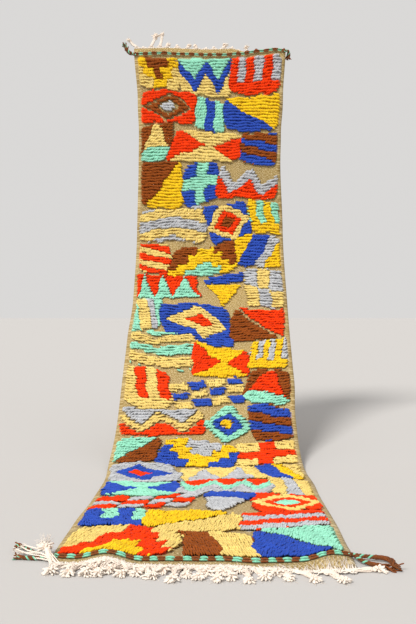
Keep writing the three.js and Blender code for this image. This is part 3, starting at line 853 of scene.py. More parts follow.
def tuft_points(along, place, lean, length, rise, girth):
    """Each tuft leaves its root, bulges over and lies down the cloth on the next row: its rings stand
    square to a path of (reach, rise) along its lean, and then come its root and its tip."""
    count = len(along)
    reach = np.array(TUFT_REACH) * length[:, None]
    out = WEAVE - ROOT_DEPTH + np.array(TUFT_RISE) * (rise[:, None] + ROOT_DEPTH)
    run, lift = np.gradient(reach, axis=1)[:, 1:4], np.gradient(out, axis=1)[:, 1:4]
    size = np.hypot(run, lift)
    run, lift = (run / size)[:, :, None], (lift / size)[:, :, None]
    swell = (np.array(TUFT_GIRTH) * girth[:, None])[:, :, None]
    angle = 2 * np.pi * (np.arange(TUFT_SIDES) + 0.25) / TUFT_SIDES
    sideways = (swell * np.cos(angle)).reshape(count, -1)
    upwards = TUFT_FLATNESS * swell * np.sin(angle)
    ring_reach = (reach[:, 1:4, None] - upwards * lift).reshape(count, -1)
    ring_out = (out[:, 1:4, None] + upwards * run).reshape(count, -1)
    tip_reach, tip_out = reach[:, 4:] + TIP_ON * girth[:, None], out[:, 4:] - TIP_DOWN * girth[:, None]
    all_reach = np.concatenate([ring_reach, reach[:, :1], tip_reach], axis=1)
    all_out = np.concatenate([ring_out, out[:, :1], tip_out], axis=1)
    all_side = np.concatenate([sideways, np.zeros((count, 2))], axis=1)
    sin, cos = np.sin(lean)[:, None], np.cos(lean)[:, None]
    from_middle = all_reach - length[:, None] / 2
    u = along[:, None] - from_middle * cos + all_side * sin
    v = field_across(along, place)[:, None] + from_middle * sin + all_side * cos
    return cloth_point(u, v, np.maximum(all_out, LOWEST))


def in_cells(turn, height, count):
    """Chart on which each tuft has a cell of its own in a square of cells: turn across it, height up it."""
    cells = math.ceil(math.sqrt(count))
    cell = np.stack([np.arange(count) % cells, np.arange(count) // cells], axis=-1)
    pair = CELL_MARGIN + CELL_INSIDE * np.stack([turn, height], axis=-1)
    return ((pair[None] + cell[:, None, None]) / cells).reshape(-1, 2)


def on_yarn(turn, height, length):
    """Chart of the place round each tuft and, in metres, along it."""
    height = height * length[:, None, None] * MM
    return np.stack([np.broadcast_to(turn, height.shape), height], axis=-1).reshape(-1, 2)


def pile_tufts():
    """One piece for the tufts of each dye. A tuft is a tube of three rings between its root and its tip,
    so their levels count from 0 at the root to 4 at the tip."""
    along, place, lean, length, rise, girth, tone, dye = tuft_layout()
    points = tuft_points(along, place, lean, length, rise, girth)
    parts, heights = tube_faces(3, TUFT_SIDES), np.array(TUFT_REACH)
    tip = np.concatenate([np.repeat(heights[1:4], TUFT_SIDES), (0.0, 1.0)])
    found = []
    for number, (name, colour) in enumerate(DYES.values()):
        mine = np.flatnonzero(dye == number)
        first = (np.arange(len(mine)) * points.shape[1])[:, None, None]
        faces = [(corners + first).reshape(-1, corners.shape[1]) for corners, around, level in parts]
        atlas = [in_cells(around, heights[level + 1], len(mine)) for corners, around, level in parts]
        yarn = [on_yarn(around, heights[level + 1], length[mine]) for corners, around, level in parts]
        layers = (("tone", np.repeat(tone[mine], len(tip))), ("tip", np.tile(tip, len(mine))))
        maps = (("yarn", np.concatenate(yarn)), ("OFBake", np.concatenate(atlas)))
        wool = pile_wool(f"{name} pile wool", colour)
        found.append(mesh_object(f"pile_{name}", points[mine], faces, wool, layers, maps))
    return found


# End cords: two ropes side by side, each of a brown and a mint strand twined round each other. They are
# this far from the cord's middle and from its height. Then come the swing and lift of a strand, its points
# and sides, and how uneven the cord, its ropes, their turns and their pitch are.
ROPE_APART, ROPE_LIFT, STRAND_SWING, STRAND_LIFT = 4.4, 1.3, 0.12, 1.0
CORD_POINTS, STRAND_SIDES = 240, 7
CORD_SWAY, ROPE_SWAY, TURN_SWAY, PITCH_SWAY = 1.2, 0.6, 0.5, 0.04

# A cord's pitch, then of the brown and the mint strand the radius and how much more it is on top.
FRONT_TWINE = 38, ((1.95, 0.95), (2.0, 1.1))
TOP_TWINE = 44, ((2.35, 1.0), (1.55, 0.75))


def two_toned(name, node, parts):
    """A piece of brown and mint tubes, whose layer values are pairs of dye and of painted shade and tone."""
    points, faces, chart, values = merged(parts)
    layers = (("dye", values[:, 0]), ("deep", values[:, 1]))
    piece = mesh_object(name, points, faces, wools["cord"], layers, (("yarn", chart),))
    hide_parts(node)


def end_cord(name, along, node, pitch, girths):
    """Each strand's middle goes round its rope's middle once in pitch, and is fullest on top: girths are
    the brown and the mint one's radius, and how much more it is there. The rope nearer the pile rides
    higher. Both are worked out flat, along and across and out, and then bent with the cloth."""
    across = np.linspace(edge_at(along, -1) + CORD_INSET, edge_at(along, 1) - CORD_INSET, CORD_POINTS)
    level = np.zeros(across.shape)
    middle = along + CORD_SWAY * ripples(across, level, 150, 33)
    inward = 1 if along < FLAT_HALF else -1
    parts = []
    for rope in (-1, 1):
        for strand, (girth, puff) in enumerate(girths):
            sway = PITCH_SWAY * rope * ripples(across, level, 90, 35)
            turn = 2 * np.pi * (across / pitch + strand / 2 + sway)
            turn = turn + TURN_SWAY * ripples(across, level, 160, 31)
            at = middle + rope * ROPE_APART + STRAND_SWING * np.cos(turn)
            at = at + ROPE_SWAY * ripples(across, level + 60 * rope, 60, 34)
            out = CORD_OUT + STRAND_LIFT * np.sin(turn) + inward * rope * ROPE_LIFT
            flat = np.stack([at, across, out], axis=-1)[None]
            points, faces, chart = tubes(flat, girth + puff * np.sin(turn), STRAND_SIDES)
            # Painted shade: the lower a point lies, down towards the weave, the higher its shade value.
            depth = 1 - smooth(WEAVE + 1, CORD_OUT + CORD_HALF_HEIGHT - 1, points[:, 2])
            values = np.stack([np.full(depth.shape, strand), depth], axis=-1)
            parts.append((cloth_point(*points.T), faces, chart * (1, MM), values))
    two_toned(name, node, parts)


# Fringes: a band of warp loops, and yarns gathered from it into plaits, each with a knot and a cut tuft.
# A plait starts at LOOP_FRONT or LOOP_TOP along the cloth and LOOP_OUT over its back.
LOOP_FRONT, LOOP_TOP, LOOP_OUT = -2.3, CLOTH_LENGTH + 2.3, 2
YARN_RADIUS, PLAIT_RADIUS, KNOT_RADIUS = 1.55, 4, 8

# The loops: how far short of the sides they stop, their pitch and how much coarser each next row is, their
# swing along the end, how far inside it they start, and how uneven their turns and their reach are. Then
# their height, how much a second row lies over a first and how they ripple, and the shares of the puff
# that lifts a loop and of the curl that lowers it.
LOOP_INSET, LOOP_PITCH, LOOP_COARSER, LOOP_SWING, LOOP_INSIDE = 4, 9.4, 1.2, 3.6, 1.5
LOOP_UNEVEN, REACH_UNEVEN = 2.4, 0.22
LOOP_HEIGHT, ROW_LIFT, LOOP_RIPPLE, PUFF_SHARE, CURL_SHARE = 2.0, 0.8, 0.8, 0.45, 0.5

# A plait on the floor keeps DROOP_SHARE of its root's height at its middle, and sways. One at the top
# starts straight, then hangs or stands this far behind its crest, and bends at BEND_SHARE of its height.
DROOP_SHARE, PLAIT_SWAY = 0.8, 3.5
STRAIGHT_START, HANGS_BEHIND, STANDS_BEHIND, BEND_SHARE = 4, 13, 3, 0.3

# Size of the heads in the middle, millimetres to the side that take 1 off it, and how uneven they are.
HEAD_SIZE, HEAD_TAPER, HEAD_UNEVEN = 1.1, 2200, 0.16

# Directions that the turning of strands starts from, nearly sideways and nearly inwards.
SIDEWAYS, INWARDS = (1, 0.02, 0.01), (0.02, 1, 0.01)

# What sets the fringe on the floor apart from the one behind the top edge. Of the loops: their reach past
# the end, row by row, their puff, and how far they curl behind the end. Of the yarns that run together
# into a plait: their number, how far they spread, their height, how far inside the end they may start and
# how far past it they go, the shares of the plait where they join and end, and their distance from its
# middle there. Of the plaits: their size. Of the tufts: their droop, how they are stretched across, along
# and upwards, and in two kinds the number of their yarns, their reach and the degrees they point away.
FLOOR_FRINGE = {
    "loops": (7, 5.6, 10.5), "puff": 1.5, "behind": 0,
    "yarns": 18, "spread": 24, "height": 3.4, "inset": 8, "beyond": 9,
    "joins": (0.50, 0.70), "apart": (5.4, 3.4), "size": 1,
    "droop": 0.3, "stretch": (1.3, 1.0, 0.85), "tufts": ((15, (12, 19), (0, 52)), (14, (9, 15), (50, 112))),
}
TOP_FRINGE = {
    "loops": (1.6, 1.3), "puff": 0.5, "behind": 7,
    "yarns": 12, "spread": 15, "height": 2.4, "inset": 0, "beyond": 4,
    "joins": (0.2, 0.34), "apart": (4.2, 2.4), "size": 1.25,
    "droop": 0.12, "stretch": (1.25, 1.0, 0.8), "tufts": ((11, (9, 15), (0, 60)), (10, (7, 12), (55, 120))),
}

# Along a plait, the shares where its braiding starts and stops and where its knot is, then its strands'
# swing, lift, pitch and radius, and the size and radius of the knot's yarn, all times the fringe's size.
BRAIDED, KNOT_AT = (0.1, 0.95), 0.85
BRAID_SWING, BRAID_LIFT, BRAID_PITCH, BRAID_RADIUS = 3.2, 1.8, 21, 2.6
KNOT_SIZE, KNOT_YARN = 1.9, 2.7

# The yarns that run together lie in three layers, YARN_LAYER apart and each uneven by YARN_UNEVEN. They are
# scattered by these lengths on the end of the cloth and past it, where they are closer by PAST_CLOSER, go
# on by a share in PAST_RANGE and curl by PAST_CURL of the loops' curl. Then their points, and the painted
# shade they reach where they bunch into the plait.
YARN_LAYER, YARN_UNEVEN, YARN_SCATTER, PAST_SCATTER = 0.8, 0.3, 2, 6
PAST_CLOSER, PAST_RANGE, PAST_CURL = 0.85, (0.8, 1.3), 0.3
YARN_POINTS, YARN_BUNCH_SHADE = 8, 0.25

# Radius and painted shade of a tuft's yarns from their knot, where they crowd, to their cut ends. Then its
# hairs' number, their reach and the degrees they point away.
TUFT_YARN = (1.8, 2.15, 2.3, 2.35, 2.3, 1.8)
TUFT_KNOT_SHADE = (0.8, 0.55, 0.25, 0, 0, 0)
TUFT_HAIRS = (8, (18, 28), (5, 85))

# The corner's brush: swing, pitch and number of its strands, their radius, and for its thick and its fine
# ends their number, reach, degrees away, curl, radius and sides. Then the same of the corner's cream yarns,
# whose frayed ends have a number, reach, degrees away and droop, and a radius.
BRUSH_STRANDS, BRUSH_RADIUS = (3.6, 70, 7), 2.0
BRUSH_ENDS = ((46, (12, 24), (0, 52), 1.4, 1.0, 4), (44, (24, 42), (0, 48), 1.0, 0.35, 3))
CREAM_STRANDS, CREAM_RADIUS = (1.05, 11, 2), 1.15
FRAYED_ENDS, FRAYED_RADIUS = (8, (7, 17), (0, 55), 0.2), 0.6

# Fine hairs over the strip at the front: their number, between which places across they lie, how far
# inside the end they start, how far they run towards it, and their lean, height over the weave and radius.
HAIRS, HAIR_PLACES, HAIR_STARTS, HAIR_RUNS = 110, (150, 322), (4, 19), (9, 18)
HAIR_LEAN, HAIR_LIFT, HAIR_RADIUS = 6, 0.6, 0.45

# Plaits on the floor: across at the root, across at the knot, and reach in front of the edge.
FRONT_PLAITS = (
    (-318, -342, 47), (-284, -301, 53), (-246, -262, 47), (-214, -236, 51), (-171, -186, 49),
    (-140, -155, 41), (-105, -120, 55), (-66, -75, 73), (-38, -47, 50), (-14, -20, 64), (22, 20, 74),
    (52, 50, 59), (80, 86, 74), (112, 121, 48), (158, 172, 47), (206, 225, 43), (262, 285, 50),
    (322, 374, 6),
)

# Short plaits that fill the widest gaps between them.
SHORT_PLAITS = (
    (-228, -250, 24), (-192, -212, 26), (-126, -137, 26), (-85, -97, 24), (3, 1, 30), (36, 34, 34),
    (66, 68, 16), (140, 148, 22),
)

# Plaits at the top: across at the root and at the knot, crest over the edge, height of the knot, and size
# of the head.
TOP_PLAITS = (
    (-338, -380, 20, 44, 1.0), (-306, -312, 6, -82, 1.0), (-272, -247, 34, 64, 1.75),
    (-229, -216, 36, 74, 1.0), (-196, -191, 10, 14, 1.05), (-146, -150, 15, -78, 1.0),
    (-96, -91, 10, 14, 1.0), (-55, -60, 10, 14, 0.95), (-12, -6, 6, -86, 1.0), (29, 24, 9, -76, 1.0),
    (74, 79, 12, 16, 1.3), (112, 119, 6, -74, 1.0), (150, 143, 6, -88, 1.0), (184, 184, 16, 36, 1.1),
    (226, 231, 9, -80, 1.0), (268, 262, 9, -86, 1.0), (308, 315, 9, -74, 1.0), (346, 350, 9, -82, 1.0),
)


def front_plait_paths():
    """Smooth paths from the loops down to the floor, where the knot lies. The heads are larger towards
    the left, and a sine of the root's place makes them uneven. The last path is the corner's brush."""
    root, knot, reach = np.array(FRONT_PLAITS + SHORT_PLAITS, float).T
    corner = np.array([(-350, -393, 3), (-362, -376, 14), (-374, -352, 26)], float)
    start = cloth_point(LOOP_FRONT, root, LOOP_OUT)
    edge = cloth_point(LOOP_FRONT, knot, LOOP_OUT)[:, 1]
    end = np.stack([knot, edge - reach - KNOT_RADIUS, np.full(len(knot), KNOT_RADIUS)], axis=-1)
    middle = (start + end) / 2
    middle[:, 2] = np.maximum(PLAIT_RADIUS, DROOP_SHARE * start[:, 2])
    middle[:, 0] += PLAIT_SWAY * np.sin(7 * root)
    controls = np.concatenate([np.stack([start, middle, end], axis=1), corner[None]])
    root = np.append(root, corner[0, 0])
    heads = HEAD_SIZE - root / HEAD_TAPER + HEAD_UNEVEN * np.sin(5 * root)
    return root, even(spline(controls, 90), 60), heads


# Cream yarns that lie between the front left braids, as points in space.
CORNER_CORDS = (
    ((-350, -388, 6), (-378, -374, 10), (-410, -360, 10), (-444, -338, 12)),
    ((-350, -384, 9), (-384, -364, 14), (-416, -346, 13), (-436, -326, 14)),
    ((-350, -390, 8), (-380, -366, 12), (-408, -352, 10), (-432, -346, 8)),
    ((-352, -386, 10), (-376, -360, 18), (-404, -344, 19), (-428, -324, 17)),
    ((-352, -390, 5), (-382, -380, 7), (-408, -370, 6), (-434, -360, 6)),
)


def top_plait_paths():
    """Smooth paths straight out of the loops, over the crest, then down behind the cloth or up behind
    the edge."""
    root, knot, crest, height, heads = np.array(TOP_PLAITS, float).T
    start = cloth_point(LOOP_TOP, root, LOOP_OUT)
    led = cloth_point(LOOP_TOP + STRAIGHT_START, root, LOOP_OUT)
    bulge = cloth_point(LOOP_TOP + crest, (root + knot) / 2, LOOP_OUT)
    flop = np.where(height < 0, HANGS_BEHIND, STANDS_BEHIND)
    behind = bulge[:, 1] + flop
    crested = bulge + np.stack([0 * flop, flop / 2, 0 * flop], axis=-1)
    end = np.stack([knot, behind, start[:, 2] + height], axis=-1)
    bend = np.stack([bulge[:, 0], behind, start[:, 2] + BEND_SHARE * height], axis=-1)
    bend = np.where((height < 0)[:, None], bend, (crested + end) / 2)
    return root, even(spline(np.stack([start, led, crested, bend, end], axis=1), 120), 60), heads


def strand_turns(paths, pitch, strands):
    """Directions square to each path, and for each strand how far it has turned round it: once in pitch,
    the strands evenly apart."""
    side, up = carried_frames(paths, SIDEWAYS)[1:]
    turns = run_along(paths) / pitch
    return side, up, [2 * np.pi * (turns + strand / strands)[:, :, None] for strand in range(strands)]


def braid(paths, width, height, pitch):
    """Three strands round each path: each swings across it as sin(turn) and up as sin(2 turn)."""
    side, up, turns = strand_turns(paths, pitch, 3)
    return [paths + width * np.sin(turn) * side + height * np.sin(2 * turn) * up for turn in turns]


def plied(paths, swing, pitch, strands):
    """Strands twisted round each path, each on a circle of radius swing."""
    side, up, turns = strand_turns(paths, pitch, strands)
    swing = np.reshape(swing, (-1, 1))
    return [paths + swing * (np.cos(turn) * side + np.sin(turn) * up) for turn in turns]


def knotted(centre, forward, side, up, draw, size):
    """An overhand knot wound about each centre: a trefoil that lies across forward."""
    roll = draw.uniform(0, 2 * np.pi, len(centre))[:, None]
    across = side * np.cos(roll) + up * np.sin(roll)
    upward = up * np.cos(roll) - side * np.sin(roll)
    turn = np.linspace(0, 2 * np.pi, 30)
    wound = np.stack([
        np.sin(turn) + 2 * np.sin(2 * turn),
        0.9 * (np.cos(turn) - 2 * np.cos(2 * turn)),
        -1.8 * np.sin(3 * turn),
    ], axis=-1)
    frames = np.stack([across, forward, upward], axis=1)
    return centre[:, None] + np.reshape(size, (-1, 1, 1)) * np.einsum("sk,ckx->csx", wound, frames)


def loose_ends(centre, forward, side, up, each, reach, spread, droop, draw, steps=6, curl=0.9):
    """Yarn ends that fan out from each centre as arcs of up to curl radians, and sink by droop. spread is
    how many degrees they point away from forward."""
    count = len(centre)
    away = np.radians(draw.uniform(spread[0], spread[1], (count, each)))
    about = 2 * np.pi * (0.618 * np.arange(each) + draw.uniform(0, 1, (count, 1)))
    about = about + draw.normal(0, 0.2, (count, each))
    aside = side[:, None] * np.cos(about)[..., None] + up[:, None] * np.sin(about)[..., None]
    heading = forward[:, None] * np.cos(away)[..., None] + aside * np.sin(away)[..., None]
    turned = np.cross(heading, aside)
    far = draw.uniform(reach[0], reach[1], (count, each))[..., None, None]
    bend = draw.uniform(0.1, curl, (count, each)) * draw.choice((-1, 1), (count, each))
    bend = bend[..., None, None]
    share = np.linspace(0, 1, steps)[:, None]
    path = centre[:, None, None] + far * (
        heading[:, :, None] * np.sin(bend * share) / bend
        + turned[:, :, None] * (1 - np.cos(bend * share)) / bend
        + np.array([0, 0, -droop]) * share ** 2
    )
    return path.reshape(-1, steps, 3)


def ring_values(values, sides, count):
    """A value for each point of count tubes, from one for each step along them."""
    values = np.asarray(values, float)
    return np.tile(np.append(np.repeat(values, sides), values[[0, -1]]), count)


def warp_loops(lay, end, outward, kind, seed):
    """Rows of loops past the end of the cloth. Their yarn goes out and back as 1 - cos(turn) while it
    moves along the end and swings back as sin(turn), unevenly by smooth noise."""
    at = np.linspace(edge_at(end, -1) + LOOP_INSET, edge_at(end, 1) - LOOP_INSET, 640)
    puff, behind = kind["puff"], kind["behind"]
    for layer, reach in enumerate(kind["loops"]):
        uneven = LOOP_UNEVEN * ripples(at, at * 0, 50, seed + layer)
        turn = 2 * np.pi * at / (LOOP_PITCH + LOOP_COARSER * layer) + uneven
        reach = reach * (1 + REACH_UNEVEN * ripples(at, at * 0, 23, seed + 5 + layer))
        bow = 1 - np.cos(turn)
        along = end + outward * (reach * bow - LOOP_INSIDE)
        out = LOOP_HEIGHT + ROW_LIFT * puff * (layer % 2) + LOOP_RIPPLE * np.sin(turn / 2)
        out = out + PUFF_SHARE * puff * bow - CURL_SHARE * behind * bow
        lay(cloth_point(along, at - LOOP_SWING * np.sin(turn), out)[None], YARN_RADIUS, 5)


def gathered_yarns(lay, root, paths, side, up, end, outward, kind, draw):
    """Yarns that lie side by side on the end of the cloth and run together round each plait: smooth paths
    from inside the end, past it, to the plait and a way along it."""
    left, right = edge_at(end, -1) + LOOP_INSET, edge_at(end, 1) - LOOP_INSET
    shape = len(root), kind["yarns"]
    spread = np.linspace(-1, 1, shape[1]) * kind["spread"] + draw.uniform(-YARN_SCATTER, YARN_SCATTER, shape)
    out = kind["height"] + YARN_LAYER * (np.arange(shape[1]) % 3)
    out = out + draw.uniform(-YARN_UNEVEN, YARN_UNEVEN, shape)
    across = np.clip(root[:, None] + spread, left, right)
    inset = kind["inset"] * draw.random(shape) ** 3 if kind["inset"] else 0
    first = cloth_point(end - outward * inset, across, out)
    spread = PAST_CLOSER * spread
    across = root[:, None] + spread + draw.uniform(-PAST_SCATTER, PAST_SCATTER, shape)
    across = np.clip(across, left, right)
    beyond = draw.uniform(*PAST_RANGE, shape) * kind["beyond"]
    second = cloth_point(end + outward * beyond, across, out - PAST_CURL * kind["behind"])
    about = draw.uniform(0, 2 * np.pi, shape)[..., None]
    near, far = (int(share * paths.shape[1]) for share in kind["joins"])
    ring = side[:, near, None] * np.cos(about) + up[:, near, None] * np.sin(about)
    third = paths[:, near, None] + kind["apart"][0] * ring
    fourth = paths[:, far, None] + kind["apart"][1] * ring
    controls = np.stack([first, second, third, fourth], axis=2).reshape(-1, 4, 3)
    # Painted shade grows along each yarn towards the plait, where the yarns bunch.
    deep = ring_values(np.linspace(0.0, YARN_BUNCH_SHADE, YARN_POINTS), 4, len(controls))
    lay(spline(controls, YARN_POINTS), YARN_RADIUS, 4, deep)


def corner_brush(lay, path, tip, cords, draw):
    """The brush that stands up beside the front left corner, its thick and its fine ends, and the cream
    yarns between the braids there, each of two strands and frayed at its end."""
    for strand in plied(path, *BRUSH_STRANDS):
        lay(even(strand, 12), BRUSH_RADIUS, 6)
    for ends, spans, angles, curl, radius, sides in BRUSH_ENDS:
        lay(loose_ends(*tip, ends, spans, angles, 0.1, draw, 6, curl), radius, sides)
    route = even(spline(np.array(cords, float), 60), 40)
    for strand in plied(route, *CREAM_STRANDS):
        lay(strand, CREAM_RADIUS, 5)
    frayed = [part[:, -1] for part in (route, *carried_frames(route, INWARDS))]
    lay(loose_ends(*frayed, *FRAYED_ENDS, draw, 5), FRAYED_RADIUS, 4)


def strip_hairs(lay, draw):
    """Fine hairs that lie over the front strip, from beside the cord to past its edge."""
    across, lean = draw.uniform(*HAIR_PLACES, (HAIRS, 1)), draw.normal(0, HAIR_LEAN, (HAIRS, 1))
    share = np.linspace(0, 1, 5)
    along = draw.uniform(*HAIR_STARTS, (HAIRS, 1)) - draw.uniform(*HAIR_RUNS, (HAIRS, 1)) * share
    lay(cloth_point(along, across + lean * share, WEAVE + HAIR_LIFT), HAIR_RADIUS, 3)


def fringe(name, node, root, paths, heads, end, outward, floor_under, seed, cords=()):
    """Warp loops past the end of the cloth, yarns gathered from just inside it, plaits, knots, tufts and
    a few fine hairs. On the floor the last plait is a brush that stands up beside the corner."""
    draw = np.random.default_rng(seed)
    count, steps = paths.shape[:2]
    kind = FLOOR_FRINGE if floor_under else TOP_FRINGE
    size, droop = kind["size"], kind["droop"]
    parts = []

    def lay(path, radius, sides, deep=0.0):
        """Adds tubes along these paths, none of them under the floor."""
        if floor_under:
            path[..., 2] = np.maximum(path[..., 2], np.max(radius))
        points, faces, chart = tubes(path, radius, sides)
        parts.append((points, faces, chart * (1, MM), deep))

    warp_loops(lay, end, outward, kind, seed)
    forward, side, up = carried_frames(paths, SIDEWAYS)
    gathered_yarns(lay, root, paths, side, up, end, outward, kind, draw)

    woven = paths[:, int(BRAIDED[0] * steps):int(BRAIDED[1] * steps)]
    for path in braid(woven, BRAID_SWING * size, BRAID_LIFT * size, BRAID_PITCH * size):
        lay(even(path, 26), BRAID_RADIUS * size, 5)

    at = int(KNOT_AT * steps)
    centre, ahead, aside, above = (part[:, at] for part in (paths, forward, side, up))
    # The knot's yarn carries painted shade of 0.25 all over.
    lay(knotted(centre, ahead, aside, above, draw, KNOT_SIZE * size * heads), KNOT_YARN * size, 6, 0.25)

    for ends, spans, angles in kind["tufts"]:
        tuft = loose_ends(centre + 2 * ahead, ahead, aside, above, ends, spans, angles, droop, draw, 6, 1.5)
        tuft = (tuft.reshape(count, -1, 3) - centre[:, None]) * heads[:, None, None] * kind["stretch"]
        tuft = (tuft + centre[:, None]).reshape(-1, len(TUFT_YARN), 3)
        # Painted shade: the tuft's yarns are darker near the knot.
        lay(tuft, np.array(TUFT_YARN), 5, ring_values(TUFT_KNOT_SHADE, 5, count * ends))
    lay(loose_ends(centre + 4 * ahead, ahead, aside, above, *TUFT_HAIRS, droop, draw, 4), 0.3, 3)

    if floor_under:
        tip = [part[-1:, -4] for part in (paths, forward, side, up)]
        corner_brush(lay, paths[-1:], tip, cords, draw)
        strip_hairs(lay, draw)

    points, faces, chart, deep = merged(parts)
    layers = (("deep", deep),)
    comb = mesh_object(name, points, faces, wools["warp"], layers, (("yarn", chart),))
    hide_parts(node)
    return comb


# Corner tassels: the ends of a cord, parted into two twisted ropes. Each rope has steps out past the edge,
# back and up, and the share of its way that is twisted; from there on it is loose yarns. Then come the
# ropes' thickness, their pitch, how far their loose yarns splay, and how mint three of these turn.
TASSELS = (
    ("tassel_front_left", -1, CORD_FRONT, (
        (((30, 16, -2), (62, 40, 0), (100, 60, 8)), 0.90),
        (((28, -6, -3), (56, -4, -3), (86, 2, -2)), 0.86),
    ), 1.0, 17, 12, 1.0),
    ("tassel_front_right", 1, CORD_FRONT, (
        (((20, -4, -1), (44, -8, -2), (64, -10, -3), (79, -22, -4), (83, -44, -5), (77, -66, -5.5)), 0.46),
        (((9, -19, -2), (19, -32, -4), (35, -45, -5), (66, -60, -6), (92, -72, -6.5)), 0.50),
    ), 1.0, -20, 9, 0.0),
    ("tassel_top_left", -1, CLOTH_LENGTH - CORD_TOP, (
        (((22, 2, 12), (40, 6, 34), (52, 4, 52)), 0.66),
        (((18, 10, 6), (32, 15, 20), (43, 14, 36)), 0.66),
    ), 1.45, 24, 17, 1.0),
    ("tassel_top_right", 1, CLOTH_LENGTH - CORD_TOP, (
        (((12, 6, -3), (16, 12, -16), (12, 18, -34)), 0.85),
        (((12, 14, 2), (10, 24, -12), (2, 30, -32)), 0.85),
    ), 1.2, 20, 12, 0.0),
)

# A rope's points, its swing, and the radius, mint and darkening towards the cord's nearly black shade colour
# of each of its strands. Then the size and radius of its lump's yarn, and the number of its loose yarns,
# their points, pitch, how far from its middle they start and get, and their radius at the start and at the
# end.
ROPE_POINTS, ROPE_SWING = 120, 2.5
ROPE_STRANDS = ((2.5, 0.0, 0.5), (2.5, 0.0, 0.5), (2.2, 1.0, 0.0))
LUMP_SIZE, LUMP_YARN = 1.35, 2.1
LOOSE_YARNS, LOOSE_POINTS, LOOSE_PITCH, LOOSE_FROM, LOOSE_MORE = 8, 26, 75, 3.0, 2.8
LOOSE_RADIUS = (1.9, 1.6)

# The way starts this far inside the cord's end and leads through a place this far past it. Loose yarns
# differ in their length, their splay and their random darkening by shares in these ranges.
ROPE_ROOT, ROPE_START = 3, 7.5
LOOSE_REACH, LOOSE_SPLAY, LOOSE_DEEP = (0.8, 1.05), (0.2, 1), (0.1, 0.6)


def tassel(number, node, side, along, ropes, size, pitch, splay, loose_mint):
    """Two ropes from the cord's end, each of two brown strands and a thinner mint one. Past its twisted
    share each has a lump, then yarns that follow the same way side by side, of uneven length, and splay
    at their ends."""
    draw = np.random.default_rng(70 + number)
    cord_end = edge_at(along, side) - side * CORD_INSET
    start = cloth_point(along, cord_end + side * ROPE_START, CORD_OUT)
    share = np.linspace(0, 1, LOOSE_POINTS)
    parts = []

    def lay(path, radius, dye, deep):
        """Adds tubes along these paths, none of them under the floor."""
        if along < FLAT_HALF:
            path[..., 2] = np.maximum(path[..., 2], np.max(radius) - 0.3)
        points, faces, chart = tubes(path, radius, 6)
        values = np.stack([np.broadcast_to(dye, len(points)), np.full(len(points), deep)], axis=-1)
        parts.append((points, faces, chart * (1, MM), values))

    for apart, (steps, twisted) in zip((ROPE_APART, -ROPE_APART), ropes):
        root = cloth_point(along + apart, cord_end - side * ROPE_ROOT, CORD_OUT)
        controls = np.concatenate([root[None], start[None], start + np.array(steps) * (side, 1, 1)])[None]
        route = even(spline(controls, 160), ROPE_POINTS)
        parting = int(twisted * ROPE_POINTS)
        strands = plied(route[:, :parting], ROPE_SWING * size, pitch, len(ROPE_STRANDS))
        for path, (radius, dye, deep) in zip(strands, ROPE_STRANDS):
            lay(even(path, 60), radius * size, dye, deep)
        loose = route[:, parting - 8:]
        forward, aside, above = (part[:, 0] for part in carried_frames(loose, INWARDS))
        # The lump's yarn carries painted shade of 0.3 all over.
        lay(knotted(loose[:, 4], forward, aside, above, draw, LUMP_SIZE * size), LUMP_YARN * size, 0.0, 0.3)
        yarns = plied(even(loose, LOOSE_POINTS), LOOSE_FROM + LOOSE_MORE * share, LOOSE_PITCH, LOOSE_YARNS)
        for yarn, path in enumerate(yarns):
            reach = draw.uniform(*LOOSE_REACH)
            path = np.stack([np.interp(share * reach, share, path[0, :, k]) for k in range(3)], axis=-1)
            way = 2 * np.pi * draw.random()
            off = np.cos(way) * aside[0] + np.sin(way) * above[0]
            path = path + draw.uniform(*LOOSE_SPLAY) * splay * smooth(0.25, 1.2, share)[:, None] * off
            dyed = ring_values(loose_mint * (yarn % 3 == 1) * smooth(0.1, 0.4, share), 6, 1)
            radius = size * np.linspace(*LOOSE_RADIUS, LOOSE_POINTS)
            lay(path[None], radius, dyed, draw.uniform(*LOOSE_DEEP))
    two_toned(f"{node}_twisted", node, parts)


# The camera's place and lens, the floor's corners, and the strength of the sky. Then the lamp's place, its
# width in the sky in degrees, and its strength.
CAMERA_PLACE, CAMERA_LENS = (0, -1.925, 0.567), 39.23
FLOOR_CORNERS = ((-40, -30, 0), (40, -30, 0), (40, 60, 0), (-40, 60, 0))
SKY_STRENGTH = 0.70
LAMP_PLACE, LAMP_WIDTH, LAMP_STRENGTH = (-0.45, -0.62, 0.75), 18, 3.6


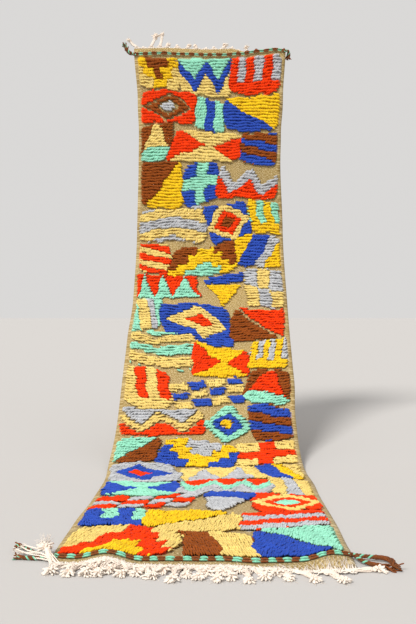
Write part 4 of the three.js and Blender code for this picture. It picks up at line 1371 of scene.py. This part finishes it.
def look_from(place, lens):
    """The photograph's camera: level, looking along +Y."""
    camera = bpy.data.objects.new("camera", bpy.data.cameras.new("camera"))
    camera.data.lens = lens
    camera.data.sensor_width = 36
    camera.location = place
    camera.rotation_euler = (math.radians(90), 0, 0)
    bpy.context.scene.collection.objects.link(camera)
    bpy.context.scene.camera = camera


def sunlight(name, place, spread, strength, colour):
    """Even light that comes from a place far away, spread the width it has in the sky in degrees."""
    light = bpy.data.lights.new(name, "SUN")
    light.angle = math.radians(spread)
    light.energy = strength
    light.color = colour
    lamp = bpy.data.objects.new(name, light)
    x, y, z = place
    lamp.rotation_euler = (math.atan2(math.hypot(x, y), z), 0, math.atan2(y, x) + math.pi / 2)
    bpy.context.scene.collection.objects.link(lamp)


look_from(CAMERA_PLACE, CAMERA_LENS)

floor_mesh = bpy.data.meshes.new("floor")
floor_mesh.from_pydata(FLOOR_CORNERS, [], [(0, 1, 2, 3)])
floor_mesh.materials.append(plain("pale floor", FLOOR_GREY, 0.9))
floor = bpy.data.objects.new("floor", floor_mesh)
bpy.context.scene.collection.objects.link(floor)

world = bpy.data.worlds.new("studio")
world.use_nodes = True
world.node_tree.nodes["Background"].inputs[0].default_value = (*SKY_WHITE, 1)
world.node_tree.nodes["Background"].inputs[1].default_value = SKY_STRENGTH
bpy.context.scene.world = world
bpy.context.scene.view_settings.view_transform = "Standard"
sunlight("key", LAMP_PLACE, LAMP_WIDTH, LAMP_STRENGTH, LAMP_WHITE)

wools = {"cord": cord_wool(), "warp": warp_yarn()}
ground = woven_ground()
pile = pile_tufts()
end_cord("end_cord_front_twined", CORD_FRONT, "end_cord_front", *FRONT_TWINE)
end_cord("end_cord_top_twined", CLOTH_LENGTH - CORD_TOP, "end_cord_top", *TOP_TWINE)
combs = [
    fringe("fringe_front_plaited", "fringe_front", *front_plait_paths(), 0, -1, True, 41, CORNER_CORDS),
    fringe("fringe_top_plaited", "fringe_top", *top_plait_paths(), CLOTH_LENGTH, 1, False, 42),
]
for number, row in enumerate(TASSELS):
    tassel(number, *row)
